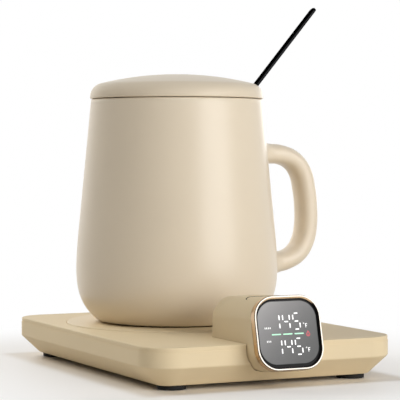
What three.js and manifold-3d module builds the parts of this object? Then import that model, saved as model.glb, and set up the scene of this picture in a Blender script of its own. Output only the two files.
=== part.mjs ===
import * as THREE from 'three';
import Module from 'manifold-3d';
import { mergeVertices } from 'three/addons/utils/BufferGeometryUtils.js';

// A mug warmer: a heated stand with a temperature display, and the lidded mug and its spoon on it.
// Millimetres, +Z up. The display faces -Y and the mug's handle points along +X.
// Pieces are placed from the mug's axis, with z = 0 on the stand's top face. The finished model is
// moved at the end, so that its origin lies on the desk under the middle of the space it takes up.

const wasm = await Module();
wasm.setup();

// Clearances
const seatGap = 0.3;
const slimGap = 0.1;
const overrun = 1;

// Facets
const plateSides = 56;
const roundSides = 28;
const smallSides = 12;
const mugSides = 36;
const cornerSteps = 5;
const barrelSteps = 6;
const curveSteps = 5;
const filletSteps = 3;

// Stand: a shallow tub with a chamfered foot, closed by a flat cover. Its width and length are
// the heating plate's round opening, the display barrel and the margins round them
const standHeight = 16.5;
const standCornerRadius = 14;
const sideMargin = 7;
const backMargin = 8.5;
const barrelFromOpening = 14.2;
const barrelOnCover = 34.3;
const coverThickness = 2;
const coverEdgeRadius = 0.5;
const coverInset = 0.1;
const coverLipDepth = 4;
const coverLipThickness = 1.5;
const bandHeight = 6.4;
const chamferWidth = 8.6;
const tubWall = 2;
const tubFloor = 2;

// Rubber feet, each with a peg in a blind hole
const footRadius = 6;
const footHeight = 2;
const footEdge = 0.4;
const footPegRadius = 2.5;
const footPegLength = 1.2;
const footFromSide = 16;
const footFromEnd = 15;

// Cover screws, up through the tub's floor into the cover's bosses
const screwFromSide = 12.5;
const screwFromBack = 28;
const screwFromFront = 35;
const screwShankRadius = 1.4;
const screwHeadRadius = 2.6;
const screwHeadHeight = 1.7;
const screwLength = 9;
const screwSink = 0.8;
const coverBossRadius = 3.2;
const tubBossRadius = 4.5;
const tubBossHeight = 2.5;

// Heating plate, which floats on springs in the cover's round opening
const plateRadius = 51;
const plateThickness = 2;
const plateProud = 0.5;
const plateEdgeRadius = 0.6;
const plateTravel = 0.8;
const plateSideGap = 0.5;
const heaterThickness = 0.4;
const heaterInset = 2;
const insulationThickness = 1.7;
const insulationInset = 2.5;

// Carrier under the plate, with three lugs that stop it under the cover
const carrierInset = 1.5;
const carrierThickness = 1.5;
const carrierRimThickness = 3;
const lugOverlap = 2.4;
const lugWidth = 12;
const lugStopGap = 0.1;
const guideCircleRadius = 36;
const guideCount = 3;
const guidePinRadius = 1.5;
const guideEngagement = 1.6;
const guideBossRadius = 3.4;
const guideBossHeight = 2.2;

// Compression springs round the guide pins
const springRadius = 2.4;
const springWireRadius = 0.3;
const springTurns = 4;
const springStepsPerTurn = 8;
const springWireSegments = 3;

// Weight switch, on a block of the tub's floor
const switchX = 16;
const switchY = -16;
const switchLength = 12.8;
const switchWidth = 5.8;
const switchSeatHeight = 1.4;
const switchPlungerRadius = 0.8;
const leverThickness = 0.4;
const leverWidth = 3.6;

// Temperature sensor and thermal fuse, under the plate
const sensorRadius = 2.6;
const sensorHeight = 4.6;
const fuseX = -22;
const fuseY = -8;
const fuseRadius = 1.6;
const fuseLength = 9;

// Main circuit board, on four pillars
const mainBoardWidth = 62;
const mainBoardDepth = 28;
const mainBoardFromFront = 7.5;
const boardThickness = 1.2;
const pillarHeight = 2.4;
const pillarRadius = 2.2;
const pillarInset = 3.5;
const capacitorLength = 12;
const capacitorWidth = 6;
const capacitorHeight = 4.6;
const relayLength = 15;
const relayWidth = 9;
const relayHeight = 5;
const chipSize = 5;
const chipHeight = 1.4;
const terminalLength = 9;
const terminalWidth = 5;
const terminalHeight = 4;

// Cord bush in the tub's back wall
const bushCollarRadius = 3;
const bushTipRadius = 2.5;
const bushNeckRadius = 2.1;
const bushBoreRadius = 1.7;
const bushFlangeRadius = 2.5;
const bushFlangeLength = 1.2;
const bushCollarLength = 2.4;

// Display barrel: a rounded square section from a back end on the cover to a tilted front
const barrelHalf = 15.5;
const barrelCornerRadius = 9.3;
const barrelWall = 2;
const barrelBackCentreZ = 1.5;
const barrelBackFillet = 2.4;
const barrelFlangeWidth = 2.5;
const barrelFlangeThickness = 1.2;
const displayOverhang = 8;
const displayCentreZ = 4.86;
const displayTilt = THREE.MathUtils.degToRad(13);

// Bezel ring, display window and what lies behind it, by depth behind the ring's front rim
const bezelDepth = 3.4;
const bezelLipWidth = 0.55;
const bezelFrontChamfer = 0.35;
const bezelSideChamfer = 0.6;
const bezelSeatDepth = 2.3;
const bezelLedge = 2.2;
const bezelCollarDepth = 1.3;
const glassThickness = 1.4;
const glassCornerEase = 0.3;
const maskThickness = 2.4;
const maskSkin = 0.6;
const maskDigitWidth = 15;
const maskDigitHeight = 7;
const maskDigitRise = 5.4;
const maskDigitShift = 1;
const maskBarHeight = 1.6;

// Pill-shaped push button in the top of the barrel, with its switch
const buttonFromSide = 5;
const buttonDepth = 10;
const buttonFromFront = 16.7;
const buttonFlangeWidth = 1.1;
const buttonFlangeThickness = 1;
const buttonTravel = 0.5;
const buttonStopGap = 0.1;
const tactSize = 6;
const tactHeight = 3;
const tactStemRadius = 1.7;
const tactStemHeight = 0.8;
const buttonBoardDepth = 12;
const railWidth = 2.2;
const railHeight = 1.5;

// Mug
const mugHeight = 102.3;
const mugRimRadius = 39.55;
const mugTaperRadius = 44.62;
const mugTaperHeight = 50.4;
const mugBellyRadius = 46.55;
const mugBellyHeight = 24.5;
const mugBottomRadius = 36.5;
const mugFootInset = 3;
const mugFootHeight = 0.7;
const mugFootWidth = 4;
const mugFootHollow = 1;
const mugWall = 4.2;
const mugFloor = 5;
const mugRimFillet = 0.7;
const mugLipRadius = 1.5;
const mugBottomAngle = THREE.MathUtils.degToRad(37);
// How far the outline's curves reach along their end directions, as shares of the belly's height
const mugBottomReachShare = 0.38;
const mugBellyDownShare = 0.455;
const mugBellyUpShare = 0.3;
const mugTaperReachShare = 0.37;

// Mug handle: a band of superelliptic section
const handleReach = 68.5;
const handleUpperHeight = 77.6;
const handleLowerHeight = 25.5;
const handleThickness = 9.2;
const handleWidth = 14;
const handleSectionPower = 2.4;
const handleSectionPoints = 12;
const handleSteps = 24;
// The handle's centre line between its roots: outward as a share of the reach from the mug's
// axis, and upward as a share of the rise from the lower arm to the upper one
const handleShares = [
  [0.785, 0.985],
  [0.883, 0.932],
  [0.95, 0.83],
  [0.982, 0.68],
  [0.999, 0.5],
  [0.997, 0.33],
  [0.972, 0.19],
  [0.918, 0.085],
  [0.843, 0.027],
  [0.765, 0.005],
];

// Lid: a low dome with a skirt inside the mug and a slot for the spoon
const lidOverhang = 0.45;
const lidRise = 11.3;
const lidSideHeight = 1;
const lidEdgeRadius = 6.2;
const lidLowerEdge = 0.5;
const lidThickness = 4.4;
const lidSkirtDepth = 5;
const lidSkirtThickness = 2.4;
const lidSkirtGap = 0.6;
const spoonSlotWidth = 8;
const spoonSlotInset = 0.35;

// Spoon, leaning on the mug's rim
const spoonLean = THREE.MathUtils.degToRad(40.5);
const spoonStandout = 58.7;
const spoonWidth = 4;
const spoonThickness = 1;
const bowlLength = 36;
const bowlWidth = 23;
const bowlDepth = 5.5;
const bowlWall = 1;
const bowlOverlap = 4;
const spoonTravel = 40;

// Levels and places that follow from the sizes above
const openingRadius = plateRadius + plateSideGap;
const axisToBack = openingRadius + backMargin;
const barrelBackToAxis = openingRadius + barrelFromOpening;
const standFrontY = -barrelBackToAxis - barrelOnCover;
const displayFrontToAxis = displayOverhang - standFrontY;
const halfWidth = openingRadius + sideMargin;
const halfLength = (axisToBack - standFrontY) / 2;
const standCentreY = axisToBack - halfLength;
const coverBottomZ = -coverThickness;
const creaseZ = coverBottomZ - bandHeight;
const undersideZ = -standHeight;
const floorZ = undersideZ + tubFloor;
const chamferHeight = creaseZ - undersideZ;
const chamferSlope = chamferWidth / chamferHeight;
const plateTopZ = plateProud;
const plateBottomZ = plateTopZ - plateThickness;
const heaterBottomZ = plateBottomZ - heaterThickness;
const insulationBottomZ = heaterBottomZ - insulationThickness;
const carrierBottomZ = insulationBottomZ - carrierThickness;
const carrierRadius = plateRadius - carrierInset;
const insulationRadius = carrierRadius - carrierRimThickness - insulationInset;
const heaterRadius = insulationRadius - heaterInset;
const lugReach = openingRadius + lugOverlap;
const sensorHoleRadius = sensorRadius + seatGap;
const footCentres = mirroredPlaces(halfWidth - footFromSide, axisToBack - footFromEnd, standFrontY + footFromEnd);
const screwCentres = mirroredPlaces(halfWidth - screwFromSide, axisToBack - screwFromBack, standFrontY + screwFromFront);
const guideCentres = turnedPlaces(guideCircleRadius, guideCount, THREE.MathUtils.degToRad(30));
const lugAngles = guideCentres.map((place, index) => Math.PI / 2 + (index * 2 * Math.PI) / guideCount);
const guideBossTopZ = floorZ + guideBossHeight;
const bushZ = (coverBottomZ + creaseZ) / 2 + slimGap;

function mirroredPlaces(x, backY, frontY) {
  return [[-x, frontY], [x, frontY], [-x, backY], [x, backY]];
}

function turnedPlaces(radius, count, startAngle) {
  return Array.from({ length: count }, (unused, index) => {
    const angle = startAngle + (index * 2 * Math.PI) / count;
    return [radius * Math.cos(angle), radius * Math.sin(angle)];
  });
}

// Solids

function signedVolume(positions, triangles) {
  const [a, b, c] = [new THREE.Vector3(), new THREE.Vector3(), new THREE.Vector3()];
  let sum = 0;
  for (let i = 0; i < triangles.length; i += 3) {
    a.fromArray(positions, 3 * triangles[i]);
    b.fromArray(positions, 3 * triangles[i + 1]);
    c.fromArray(positions, 3 * triangles[i + 2]);
    sum += a.dot(b.cross(c));
  }
  return sum / 6;
}

// A closed geometry as a solid, with its seams merged and its faces turned outward
function toSolid(geometry) {
  const bare = geometry.clone();
  bare.deleteAttribute('normal');
  bare.deleteAttribute('uv');
  const merged = mergeVertices(bare);
  const positions = merged.attributes.position.array;
  const index = merged.index.array;
  const triangles = [];
  for (let i = 0; i < index.length; i += 3) {
    const [a, b, c] = [index[i], index[i + 1], index[i + 2]];
    if (a !== b && b !== c && c !== a) triangles.push(a, b, c);
  }
  if (signedVolume(positions, triangles) < 0) triangles.reverse();
  const mesh = new wasm.Mesh({
    numProp: 3,
    vertProperties: new Float32Array(positions),
    triVerts: new Uint32Array(triangles),
  });
  return new wasm.Manifold(mesh);
}

function toMesh(name, solid, material) {
  const { vertProperties, triVerts } = solid.getMesh();
  const geometry = new THREE.BufferGeometry();
  geometry.setAttribute('position', new THREE.BufferAttribute(vertProperties, 3));
  geometry.setIndex(new THREE.BufferAttribute(triVerts, 1));
  const faceted = geometry.toNonIndexed();
  faceted.computeVertexNormals();
  const mesh = new THREE.Mesh(faceted, material);
  mesh.name = name;
  return mesh;
}

function joined(solids) {
  return solids.reduce((whole, piece) => whole.add(piece));
}

function cut(solid, tools) {
  return tools.reduce((rest, tool) => rest.subtract(tool), solid);
}

function post(radius, low, high, [x, y] = [0, 0], sides = smallSides) {
  const geometry = new THREE.CylinderGeometry(radius, radius, high - low, sides);
  geometry.rotateX(Math.PI / 2);
  geometry.translate(x, y, (low + high) / 2);
  return toSolid(geometry);
}

function block(sizeX, sizeY, low, high, [x, y] = [0, 0]) {
  const geometry = new THREE.BoxGeometry(sizeX, sizeY, high - low);
  geometry.translate(x, y, (low + high) / 2);
  return toSolid(geometry);
}

// A solid of revolution about Z from [radius, z] points that start and end on the axis or close
function revolved(points, sides = roundSides) {
  const profile = points.map(([radius, z]) => new THREE.Vector2(Math.max(radius, 0), z));
  const geometry = new THREE.LatheGeometry(profile, sides);
  geometry.rotateX(Math.PI / 2);
  return toSolid(geometry);
}

// A flat ring or disc with an optional bore
function disc(radius, low, high, boreRadius, sides = roundSides) {
  const outer = post(radius, low, high, [0, 0], sides);
  return boreRadius > 0 ? outer.subtract(post(boreRadius, low - overrun, high + overrun)) : outer;
}

// Points of a rounded rectangle, centred on zero; the same count at every size
function roundedOutline(halfX, halfY, radius, steps) {
  const points = [];
  const corners = [[1, -1, -0.5], [1, 1, 0], [-1, 1, 0.5], [-1, -1, 1]];
  for (const [signX, signY, startHalfTurn] of corners) {
    for (let i = 0; i <= steps; i++) {
      const angle = Math.PI * (startHalfTurn + (0.5 * i) / steps);
      const x = signX * (halfX - radius) + radius * Math.cos(angle);
      const y = signY * (halfY - radius) + radius * Math.sin(angle);
      points.push([x, y]);
    }
  }
  return points;
}

// A skin over rings of equal count: capped at both ends, or joined from the last to the first
function lofted(rings, isLoop = false) {
  const count = rings[0].length;
  const positions = rings.flat().flatMap((point) => point.toArray());
  const triangles = [];
  const bands = isLoop ? rings.length : rings.length - 1;
  for (let i = 0; i < bands; i++) {
    const lower = i * count;
    const upper = ((i + 1) % rings.length) * count;
    for (let j = 0; j < count; j++) {
      const next = (j + 1) % count;
      triangles.push(lower + j, lower + next, upper + next, lower + j, upper + next, upper + j);
    }
  }
  if (!isLoop) {
    const last = (rings.length - 1) * count;
    for (let j = 1; j < count - 1; j++) {
      triangles.push(0, j + 1, j, last, last + j, last + j + 1);
    }
  }
  const geometry = new THREE.BufferGeometry();
  geometry.setAttribute('position', new THREE.Float32BufferAttribute(positions, 3));
  geometry.setIndex(triangles);
  return toSolid(geometry);
}

function standRing(inset, z) {
  const radius = Math.max(standCornerRadius - inset, coverEdgeRadius);
  const outline = roundedOutline(halfWidth - inset, halfLength - inset, radius, cornerSteps);
  return outline.map(([x, y]) => new THREE.Vector3(x, y + standCentreY, z));
}

// Display barrel

// A point of the display's own frame: across, up the tilted face, and out along its normal
function displayPoint(across, up, out) {
  const y = -displayFrontToAxis + up * Math.sin(displayTilt) - out * Math.cos(displayTilt);
  const z = displayCentreZ + up * Math.cos(displayTilt) + out * Math.sin(displayTilt);
  return new THREE.Vector3(across, y, z);
}

function barrelOutline(inset) {
  const half = barrelHalf - inset;
  const radius = Math.max(barrelCornerRadius - inset, seatGap);
  return roundedOutline(half, half, radius, barrelSteps);
}

function barrelBackRing(inset, y) {
  return barrelOutline(inset).map(([across, up]) => new THREE.Vector3(across, y, barrelBackCentreZ + up));
}

function barrelFrontRing(inset, out) {
  return barrelOutline(inset).map(([across, up]) => displayPoint(across, up, out));
}

// The barrel as a full solid: inset shrinks it on all sides but the front, a negative one grows it.
// Its front stands at the ring's back, or is drawn on straight to frontOut
function barrelBody(inset, frontOut) {
  const backY = -barrelBackToAxis - inset;
  const rings = [];
  for (let i = 0; i <= filletSteps; i++) {
    const angle = (Math.PI / 2) * (i / filletSteps);
    const step = barrelBackFillet * (1 - Math.sin(angle));
    rings.push(barrelBackRing(inset + step, backY - barrelBackFillet * (1 - Math.cos(angle))));
  }
  rings.push(barrelFrontRing(inset, -bezelDepth));
  if (frontOut > -bezelDepth) rings.push(barrelFrontRing(inset, frontOut));
  return lofted(rings);
}

// The barrel's top line, which carries the push button
const barrelTopFront = displayPoint(0, barrelHalf, -bezelDepth);
const barrelTopBack = new THREE.Vector3(0, -barrelBackToAxis - barrelBackFillet, barrelBackCentreZ + barrelHalf);
const barrelTopSlope = (barrelTopFront.z - barrelTopBack.z) / (barrelTopBack.y - barrelTopFront.y);
const buttonTilt = Math.atan(barrelTopSlope);
const buttonY = buttonFromFront - displayFrontToAxis;
const buttonTop = new THREE.Vector3(0, buttonY, barrelTopBack.z + barrelTopSlope * (barrelTopBack.y - buttonY));
const buttonWidth = 2 * (barrelHalf - buttonFromSide);
const buttonFlangeHalf = buttonWidth / 2 + buttonFlangeWidth;

// The height of the barrel's rounded ceiling above its middle, at a distance across
function ceilingHeight(across) {
  const centre = barrelHalf - barrelCornerRadius;
  const radius = barrelCornerRadius - barrelWall;
  const run = Math.min(Math.max(across - centre, 0), radius);
  return centre + Math.sqrt(radius ** 2 - run ** 2);
}

const buttonSkirt = barrelHalf - ceilingHeight(buttonFlangeHalf + seatGap) + slimGap;

// Moves a solid from the button's frame, with z = 0 on the barrel's top, to its place
function atButton(solid) {
  const matrix = new THREE.Matrix4().makeRotationX(-buttonTilt).setPosition(buttonTop);
  return solid.transform(matrix.toArray());
}

const buttonBottom = -buttonSkirt - buttonFlangeThickness;
const tactTop = buttonBottom - buttonTravel - buttonStopGap;
const tactBottom = tactTop - tactStemHeight - tactHeight;
const buttonBoardTop = tactBottom - slimGap;
const railTop = buttonBoardTop - boardThickness - slimGap;

// The button's outline, grown by margin, as a solid between two heights
function pill(margin, low, high) {
  const radius = buttonDepth / 2 + margin;
  const endCentre = (buttonWidth - buttonDepth) / 2;
  const shape = new THREE.Shape();
  shape.absarc(endCentre, 0, radius, -Math.PI / 2, Math.PI / 2, false);
  shape.absarc(-endCentre, 0, radius, Math.PI / 2, 1.5 * Math.PI, false);
  const geometry = new THREE.ExtrudeGeometry(shape, {
    depth: high - low,
    bevelEnabled: false,
    curveSegments: smallSides / 2,
  });
  geometry.translate(0, 0, low);
  return toSolid(geometry);
}

function displayHousing() {
  const cavity = barrelBody(barrelWall, overrun);
  const flangeTop = coverBottomZ - seatGap;
  const flangeBottom = flangeTop - barrelFlangeThickness;
  const belly = tubInterior().trimByPlane([0, 0, -1], -flangeBottom);
  const innerFrontY = standFrontY + tubWall + coverLipThickness + 2 * seatGap;
  const flangeHalf = barrelHalf + barrelFlangeWidth;
  const flangeBackY = -barrelBackToAxis + barrelFlangeWidth;
  const flange = block(
    2 * flangeHalf,
    flangeBackY - innerFrontY,
    flangeBottom,
    flangeTop,
    [0, (flangeBackY + innerFrontY) / 2],
  );
  const rails = [-1, 1].map((side) =>
    atButton(block(railWidth + barrelWall, buttonBoardDepth, railTop - railHeight, railTop,
      [side * (barrelHalf - (railWidth + barrelWall) / 2 - slimGap), 0])));
  const buttonHole = atButton(pill(seatGap, -buttonSkirt, overrun));
  const walls = barrelBody(0, -bezelDepth).subtract(belly).add(flange).subtract(cavity);
  return joined([walls, ...rails]).subtract(buttonHole);
}

function bezelRing() {
  const glassHalf = bezelLipWidth + bezelFrontChamfer;
  const ledgeInset = glassHalf + bezelLedge;
  const collarInset = barrelWall + seatGap;
  const back = -bezelDepth + seatGap;
  const profile = [
    [0, back],
    [0, -bezelSideChamfer],
    [bezelFrontChamfer, 0],
    [glassHalf, 0],
    [glassHalf, -bezelSeatDepth],
    [ledgeInset, -bezelSeatDepth],
    [ledgeInset, back - bezelCollarDepth],
    [collarInset, back - bezelCollarDepth],
    [collarInset, back],
  ];
  return lofted(profile.map(([inset, out]) => barrelFrontRing(inset, out)), true);
}

function displayGlass() {
  const inset = bezelLipWidth + bezelFrontChamfer + seatGap;
  const back = -bezelSeatDepth + seatGap;
  const front = back + glassThickness;
  return lofted([
    barrelFrontRing(inset, back),
    barrelFrontRing(inset, front - glassCornerEase),
    barrelFrontRing(inset + glassCornerEase, front),
  ]);
}

// A block of the display's frame: sizes across and up, centred at [across, up], between depths
function displayBlock(sizeAcross, sizeUp, low, high, [across, up]) {
  const outline = [[-0.5, -0.5], [0.5, -0.5], [0.5, 0.5], [-0.5, 0.5]];
  return lofted([low, high].map((out) =>
    outline.map(([i, j]) => displayPoint(across + i * sizeAcross, up + j * sizeUp, out))));
}

const maskInset = bezelLipWidth + bezelFrontChamfer + bezelLedge + seatGap;
const maskFront = -bezelSeatDepth;
const maskBack = maskFront - maskThickness;

// The black mask that keeps the lit areas apart: an upper and a lower number and the bar between
function lightMask() {
  const plate = lofted([barrelFrontRing(maskInset, maskBack), barrelFrontRing(maskInset, maskFront)]);
  const digitWindows = [1, -1].map((side) => displayBlock(maskDigitWidth, maskDigitHeight,
    maskBack - overrun, maskFront + overrun, [maskDigitShift, side * maskDigitRise]));
  const barWindow = displayBlock(maskDigitWidth + maskDigitShift, maskBarHeight,
    maskBack - overrun, maskFront + overrun, [0, 0]);
  return cut(plate, [...digitWindows, barWindow]);
}

const displayBoardFront = Math.min(maskBack, -bezelDepth - bezelCollarDepth + seatGap) - slimGap;

function displayBoard() {
  const inset = barrelWall + 2 * seatGap;
  const back = displayBoardFront - boardThickness;
  const board = lofted([barrelFrontRing(inset, back), barrelFrontRing(inset, displayBoardFront)]);
  const socket = displayBlock(terminalLength, terminalWidth, back - chipHeight, back, [0, -maskDigitRise]);
  return board.add(socket);
}

function buttonCap() {
  const cap = barrelBody(0, -bezelDepth).intersect(atButton(pill(0, -buttonSkirt - slimGap, overrun)));
  return cap.add(atButton(pill(buttonFlangeWidth, buttonBottom, -buttonSkirt)));
}

function buttonSwitch() {
  const body = block(tactSize, tactSize, tactBottom, tactBottom + tactHeight);
  const stem = post(tactStemRadius, tactBottom, tactTop);
  return atButton(body.add(stem));
}

function buttonBoard() {
  const width = 2 * (barrelHalf - barrelWall - 2 * seatGap);
  return atButton(block(width, buttonBoardDepth, buttonBoardTop - boardThickness, buttonBoardTop));
}

// Stand

const displayOpening = barrelBody(-seatGap, -bezelDepth);

function tubInterior() {
  const innerCreaseZ = creaseZ + tubWall * Math.tan(Math.atan(chamferSlope) / 2);
  const innerFloorInset = tubWall + (innerCreaseZ - floorZ) * chamferSlope;
  return lofted([
    standRing(innerFloorInset, floorZ),
    standRing(tubWall, innerCreaseZ),
    standRing(tubWall, coverBottomZ + overrun),
  ]);
}

function bottomTub() {
  const outside = lofted([
    standRing(chamferWidth, undersideZ),
    standRing(0, creaseZ),
    standRing(0, coverBottomZ),
  ]);
  const bossTop = floorZ + tubBossHeight;
  const bosses = screwCentres.map((place) => post(tubBossRadius, floorZ - slimGap, bossTop, place));
  const guides = guideCentres.map((place) => post(guideBossRadius, floorZ - slimGap, guideBossTopZ, place));
  const switchSeat = block(switchLength, switchWidth, floorZ - slimGap, switchBaseZ, [switchX, switchY]);
  const pillars = pillarCentres.map((place) => post(pillarRadius, floorZ - slimGap, boardSeatZ, place));
  const body = outside.intersect(joined([outside.subtract(tubInterior()), ...bosses, ...guides, switchSeat, ...pillars]));
  const headHole = screwHeadRadius + seatGap;
  const counterTop = undersideZ + screwSink + screwHeadHeight + seatGap;
  return cut(body, [
    ...screwCentres.map((place) => post(headHole, undersideZ - overrun, counterTop, place)),
    ...screwCentres.map((place) => post(screwShankRadius + seatGap, undersideZ, bossTop + overrun, place)),
    ...guideCentres.map((place) => post(guidePinRadius + seatGap, floorZ, guideBossTopZ + overrun, place)),
    ...footCentres.map((place) => post(footPegRadius + seatGap, undersideZ - overrun,
      undersideZ + footPegLength + seatGap, place)),
    bushHole(),
    displayOpening,
  ]);
}

function topCover() {
  const rings = [standRing(coverInset, coverBottomZ)];
  for (let i = 0; i <= filletSteps; i++) {
    const angle = (Math.PI / 2) * (i / filletSteps);
    const inset = coverInset + coverEdgeRadius * (1 - Math.cos(angle));
    rings.push(standRing(inset, coverEdgeRadius * (Math.sin(angle) - 1)));
  }
  const lipInset = tubWall + seatGap;
  const lipBottom = coverBottomZ - coverLipDepth;
  const lip = lofted([
    standRing(lipInset, lipBottom),
    standRing(lipInset, coverBottomZ + slimGap),
    standRing(lipInset + coverLipThickness, coverBottomZ + slimGap),
    standRing(lipInset + coverLipThickness, lipBottom),
  ], true);
  const bossBottom = floorZ + tubBossHeight + seatGap;
  const bosses = screwCentres.map((place) => post(coverBossRadius, bossBottom, coverBottomZ + slimGap, place));
  const pilotTop = Math.min(undersideZ + screwSink + screwHeadHeight + screwLength + seatGap,
    coverBottomZ - slimGap);
  const pilots = screwCentres.map((place) => post(screwShankRadius + seatGap, bossBottom - overrun,
    pilotTop, place));
  const opening = post(openingRadius, coverBottomZ - overrun, overrun, [0, 0], plateSides);
  const bushWidth = 2 * (bushFlangeRadius + seatGap);
  const bushNotch = block(bushWidth, 2 * bushWidth, lipBottom - overrun, coverBottomZ, [0, axisToBack]);
  return cut(joined([lofted(rings), lip, ...bosses]), [opening, bushNotch, ...pilots, displayOpening]);
}

function rubberFoot([x, y]) {
  const top = undersideZ;
  const bottom = undersideZ - footHeight;
  return revolved([
    [0, bottom],
    [footRadius - footEdge, bottom],
    [footRadius, bottom + footEdge],
    [footRadius, top],
    [footPegRadius, top],
    [footPegRadius, top + footPegLength],
    [0, top + footPegLength],
  ], smallSides).translate([x, y, 0]);
}

function coverScrew([x, y]) {
  const headBottom = undersideZ + screwSink;
  const headTop = headBottom + screwHeadHeight;
  const tip = headTop + screwLength - screwShankRadius;
  return revolved([
    [0, headBottom],
    [screwHeadRadius - footEdge, headBottom],
    [screwHeadRadius, headBottom + footEdge],
    [screwHeadRadius, headTop],
    [screwShankRadius, headTop],
    [screwShankRadius, tip],
    [0, tip + screwShankRadius],
  ], smallSides).translate([x, y, 0]);
}

function bushHole() {
  const geometry = new THREE.CylinderGeometry(bushNeckRadius + seatGap, bushNeckRadius + seatGap,
    tubWall + 2 * overrun, smallSides);
  geometry.translate(0, axisToBack - tubWall / 2, bushZ);
  return toSolid(geometry);
}

// The cord bush, a flexible sleeve with a flange on each side of the back wall
function cordBush() {
  const outside = axisToBack + seatGap;
  const inside = axisToBack - tubWall - seatGap;
  const bush = revolved([
    [bushBoreRadius, inside - bushFlangeLength],
    [bushFlangeRadius, inside - bushFlangeLength],
    [bushFlangeRadius, inside],
    [bushNeckRadius, inside],
    [bushNeckRadius, outside],
    [bushCollarRadius, outside],
    [bushTipRadius, outside + bushCollarLength],
    [bushBoreRadius, outside + bushCollarLength],
    [bushBoreRadius, inside - bushFlangeLength],
  ], smallSides);
  return bush.rotate([-90, 0, 0]).translate([0, 0, bushZ]);
}

// Heating plate and its carrier

function heatingPlate() {
  const points = [[0, plateBottomZ], [plateRadius, plateBottomZ]];
  for (let i = 0; i <= filletSteps; i++) {
    const angle = (Math.PI / 2) * (i / filletSteps);
    const radius = plateRadius - plateEdgeRadius * (1 - Math.cos(angle));
    points.push([radius, plateTopZ - plateEdgeRadius * (1 - Math.sin(angle))]);
  }
  points.push([0, plateTopZ]);
  return revolved(points, plateSides);
}

function heaterElement() {
  return disc(heaterRadius, heaterBottomZ, plateBottomZ, sensorHoleRadius, mugSides);
}

function fuseSlot() {
  const length = fuseLength + 2 * seatGap;
  const width = 2 * (fuseRadius + seatGap);
  return block(length, width, carrierBottomZ - overrun, heaterBottomZ, [fuseX, fuseY]);
}

function insulationPad() {
  const pad = disc(insulationRadius, insulationBottomZ, heaterBottomZ, sensorHoleRadius, mugSides);
  return pad.subtract(fuseSlot());
}

function plateCarrier() {
  const dish = post(carrierRadius, carrierBottomZ, insulationBottomZ, [0, 0], mugSides);
  const rim = revolved([
    [carrierRadius - carrierRimThickness, insulationBottomZ - slimGap],
    [carrierRadius, insulationBottomZ - slimGap],
    [carrierRadius, plateBottomZ - seatGap],
    [carrierRadius - carrierRimThickness, plateBottomZ - seatGap],
    [carrierRadius - carrierRimThickness, insulationBottomZ - slimGap],
  ], mugSides);
  const lugTop = coverBottomZ - plateTravel - lugStopGap;
  const lugs = lugAngles.map((angle) => {
    const length = lugReach - carrierRadius + carrierRimThickness;
    const lug = block(length, lugWidth, carrierBottomZ, lugTop, [lugReach - length / 2, 0]);
    return lug.rotate([0, 0, THREE.MathUtils.radToDeg(angle)]);
  });
  const pinBottom = guideBossTopZ - guideEngagement;
  const pins = guideCentres.map((place) => post(guidePinRadius, pinBottom, carrierBottomZ + slimGap, place));
  const sensorHole = post(sensorHoleRadius, carrierBottomZ - overrun, plateBottomZ);
  return cut(joined([dish, rim, ...lugs, ...pins]), [sensorHole, fuseSlot()]);
}

class HelixCurve extends THREE.Curve {
  constructor(radius, low, high, turns) {
    super();
    Object.assign(this, { radius, low, high, turns });
  }

  getPoint(t, target = new THREE.Vector3()) {
    const angle = 2 * Math.PI * this.turns * t;
    const z = THREE.MathUtils.lerp(this.low, this.high, t);
    return target.set(this.radius * Math.cos(angle), this.radius * Math.sin(angle), z);
  }
}

function plateSpring([x, y]) {
  const low = guideBossTopZ + seatGap + springWireRadius;
  const high = carrierBottomZ - seatGap - springWireRadius;
  const wire = new THREE.Shape();
  wire.absarc(0, 0, springWireRadius, 0, 2 * Math.PI);
  const geometry = new THREE.ExtrudeGeometry(wire, {
    steps: springTurns * springStepsPerTurn,
    curveSegments: springWireSegments,
    extrudePath: new HelixCurve(springRadius, low, high, springTurns),
  });
  return toSolid(geometry).translate([x, y, 0]);
}

const leverTopZ = carrierBottomZ - seatGap;
const switchTopZ = leverTopZ - leverThickness - switchPlungerRadius;
const switchBaseZ = floorZ + switchSeatHeight;

function weightSwitch() {
  const place = [switchX, switchY];
  const body = block(switchLength, switchWidth, switchBaseZ, switchTopZ, place);
  const plunger = post(switchPlungerRadius, switchTopZ - slimGap, leverTopZ - leverThickness + slimGap, place);
  const lever = block(switchLength, leverWidth, leverTopZ - leverThickness, leverTopZ, place);
  const hinge = block(switchPlungerRadius, leverWidth, switchTopZ - slimGap, leverTopZ - slimGap,
    [switchX - switchLength / 2 + switchPlungerRadius / 2, switchY]);
  return joined([body, plunger, lever, hinge]);
}

function temperatureSensor() {
  const top = plateBottomZ - seatGap;
  return revolved([
    [0, top - sensorHeight],
    [sensorRadius - footEdge, top - sensorHeight],
    [sensorRadius, top - sensorHeight + footEdge],
    [sensorRadius, top],
    [0, top],
  ], smallSides);
}

function thermalFuse() {
  const geometry = new THREE.CylinderGeometry(fuseRadius, fuseRadius, fuseLength, smallSides);
  geometry.rotateZ(Math.PI / 2);
  geometry.translate(fuseX, fuseY, heaterBottomZ - seatGap - fuseRadius);
  return toSolid(geometry);
}

// Main circuit board

const boardSeatZ = floorZ + pillarHeight;
const boardTopZ = boardSeatZ + boardThickness;
const boardCentreY = standFrontY + mainBoardFromFront + mainBoardDepth / 2;
const pillarX = mainBoardWidth / 2 - pillarInset;
const pillarHalfY = mainBoardDepth / 2 - pillarInset;
const pillarCentres = mirroredPlaces(pillarX, boardCentreY + pillarHalfY, boardCentreY - pillarHalfY);

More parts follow.
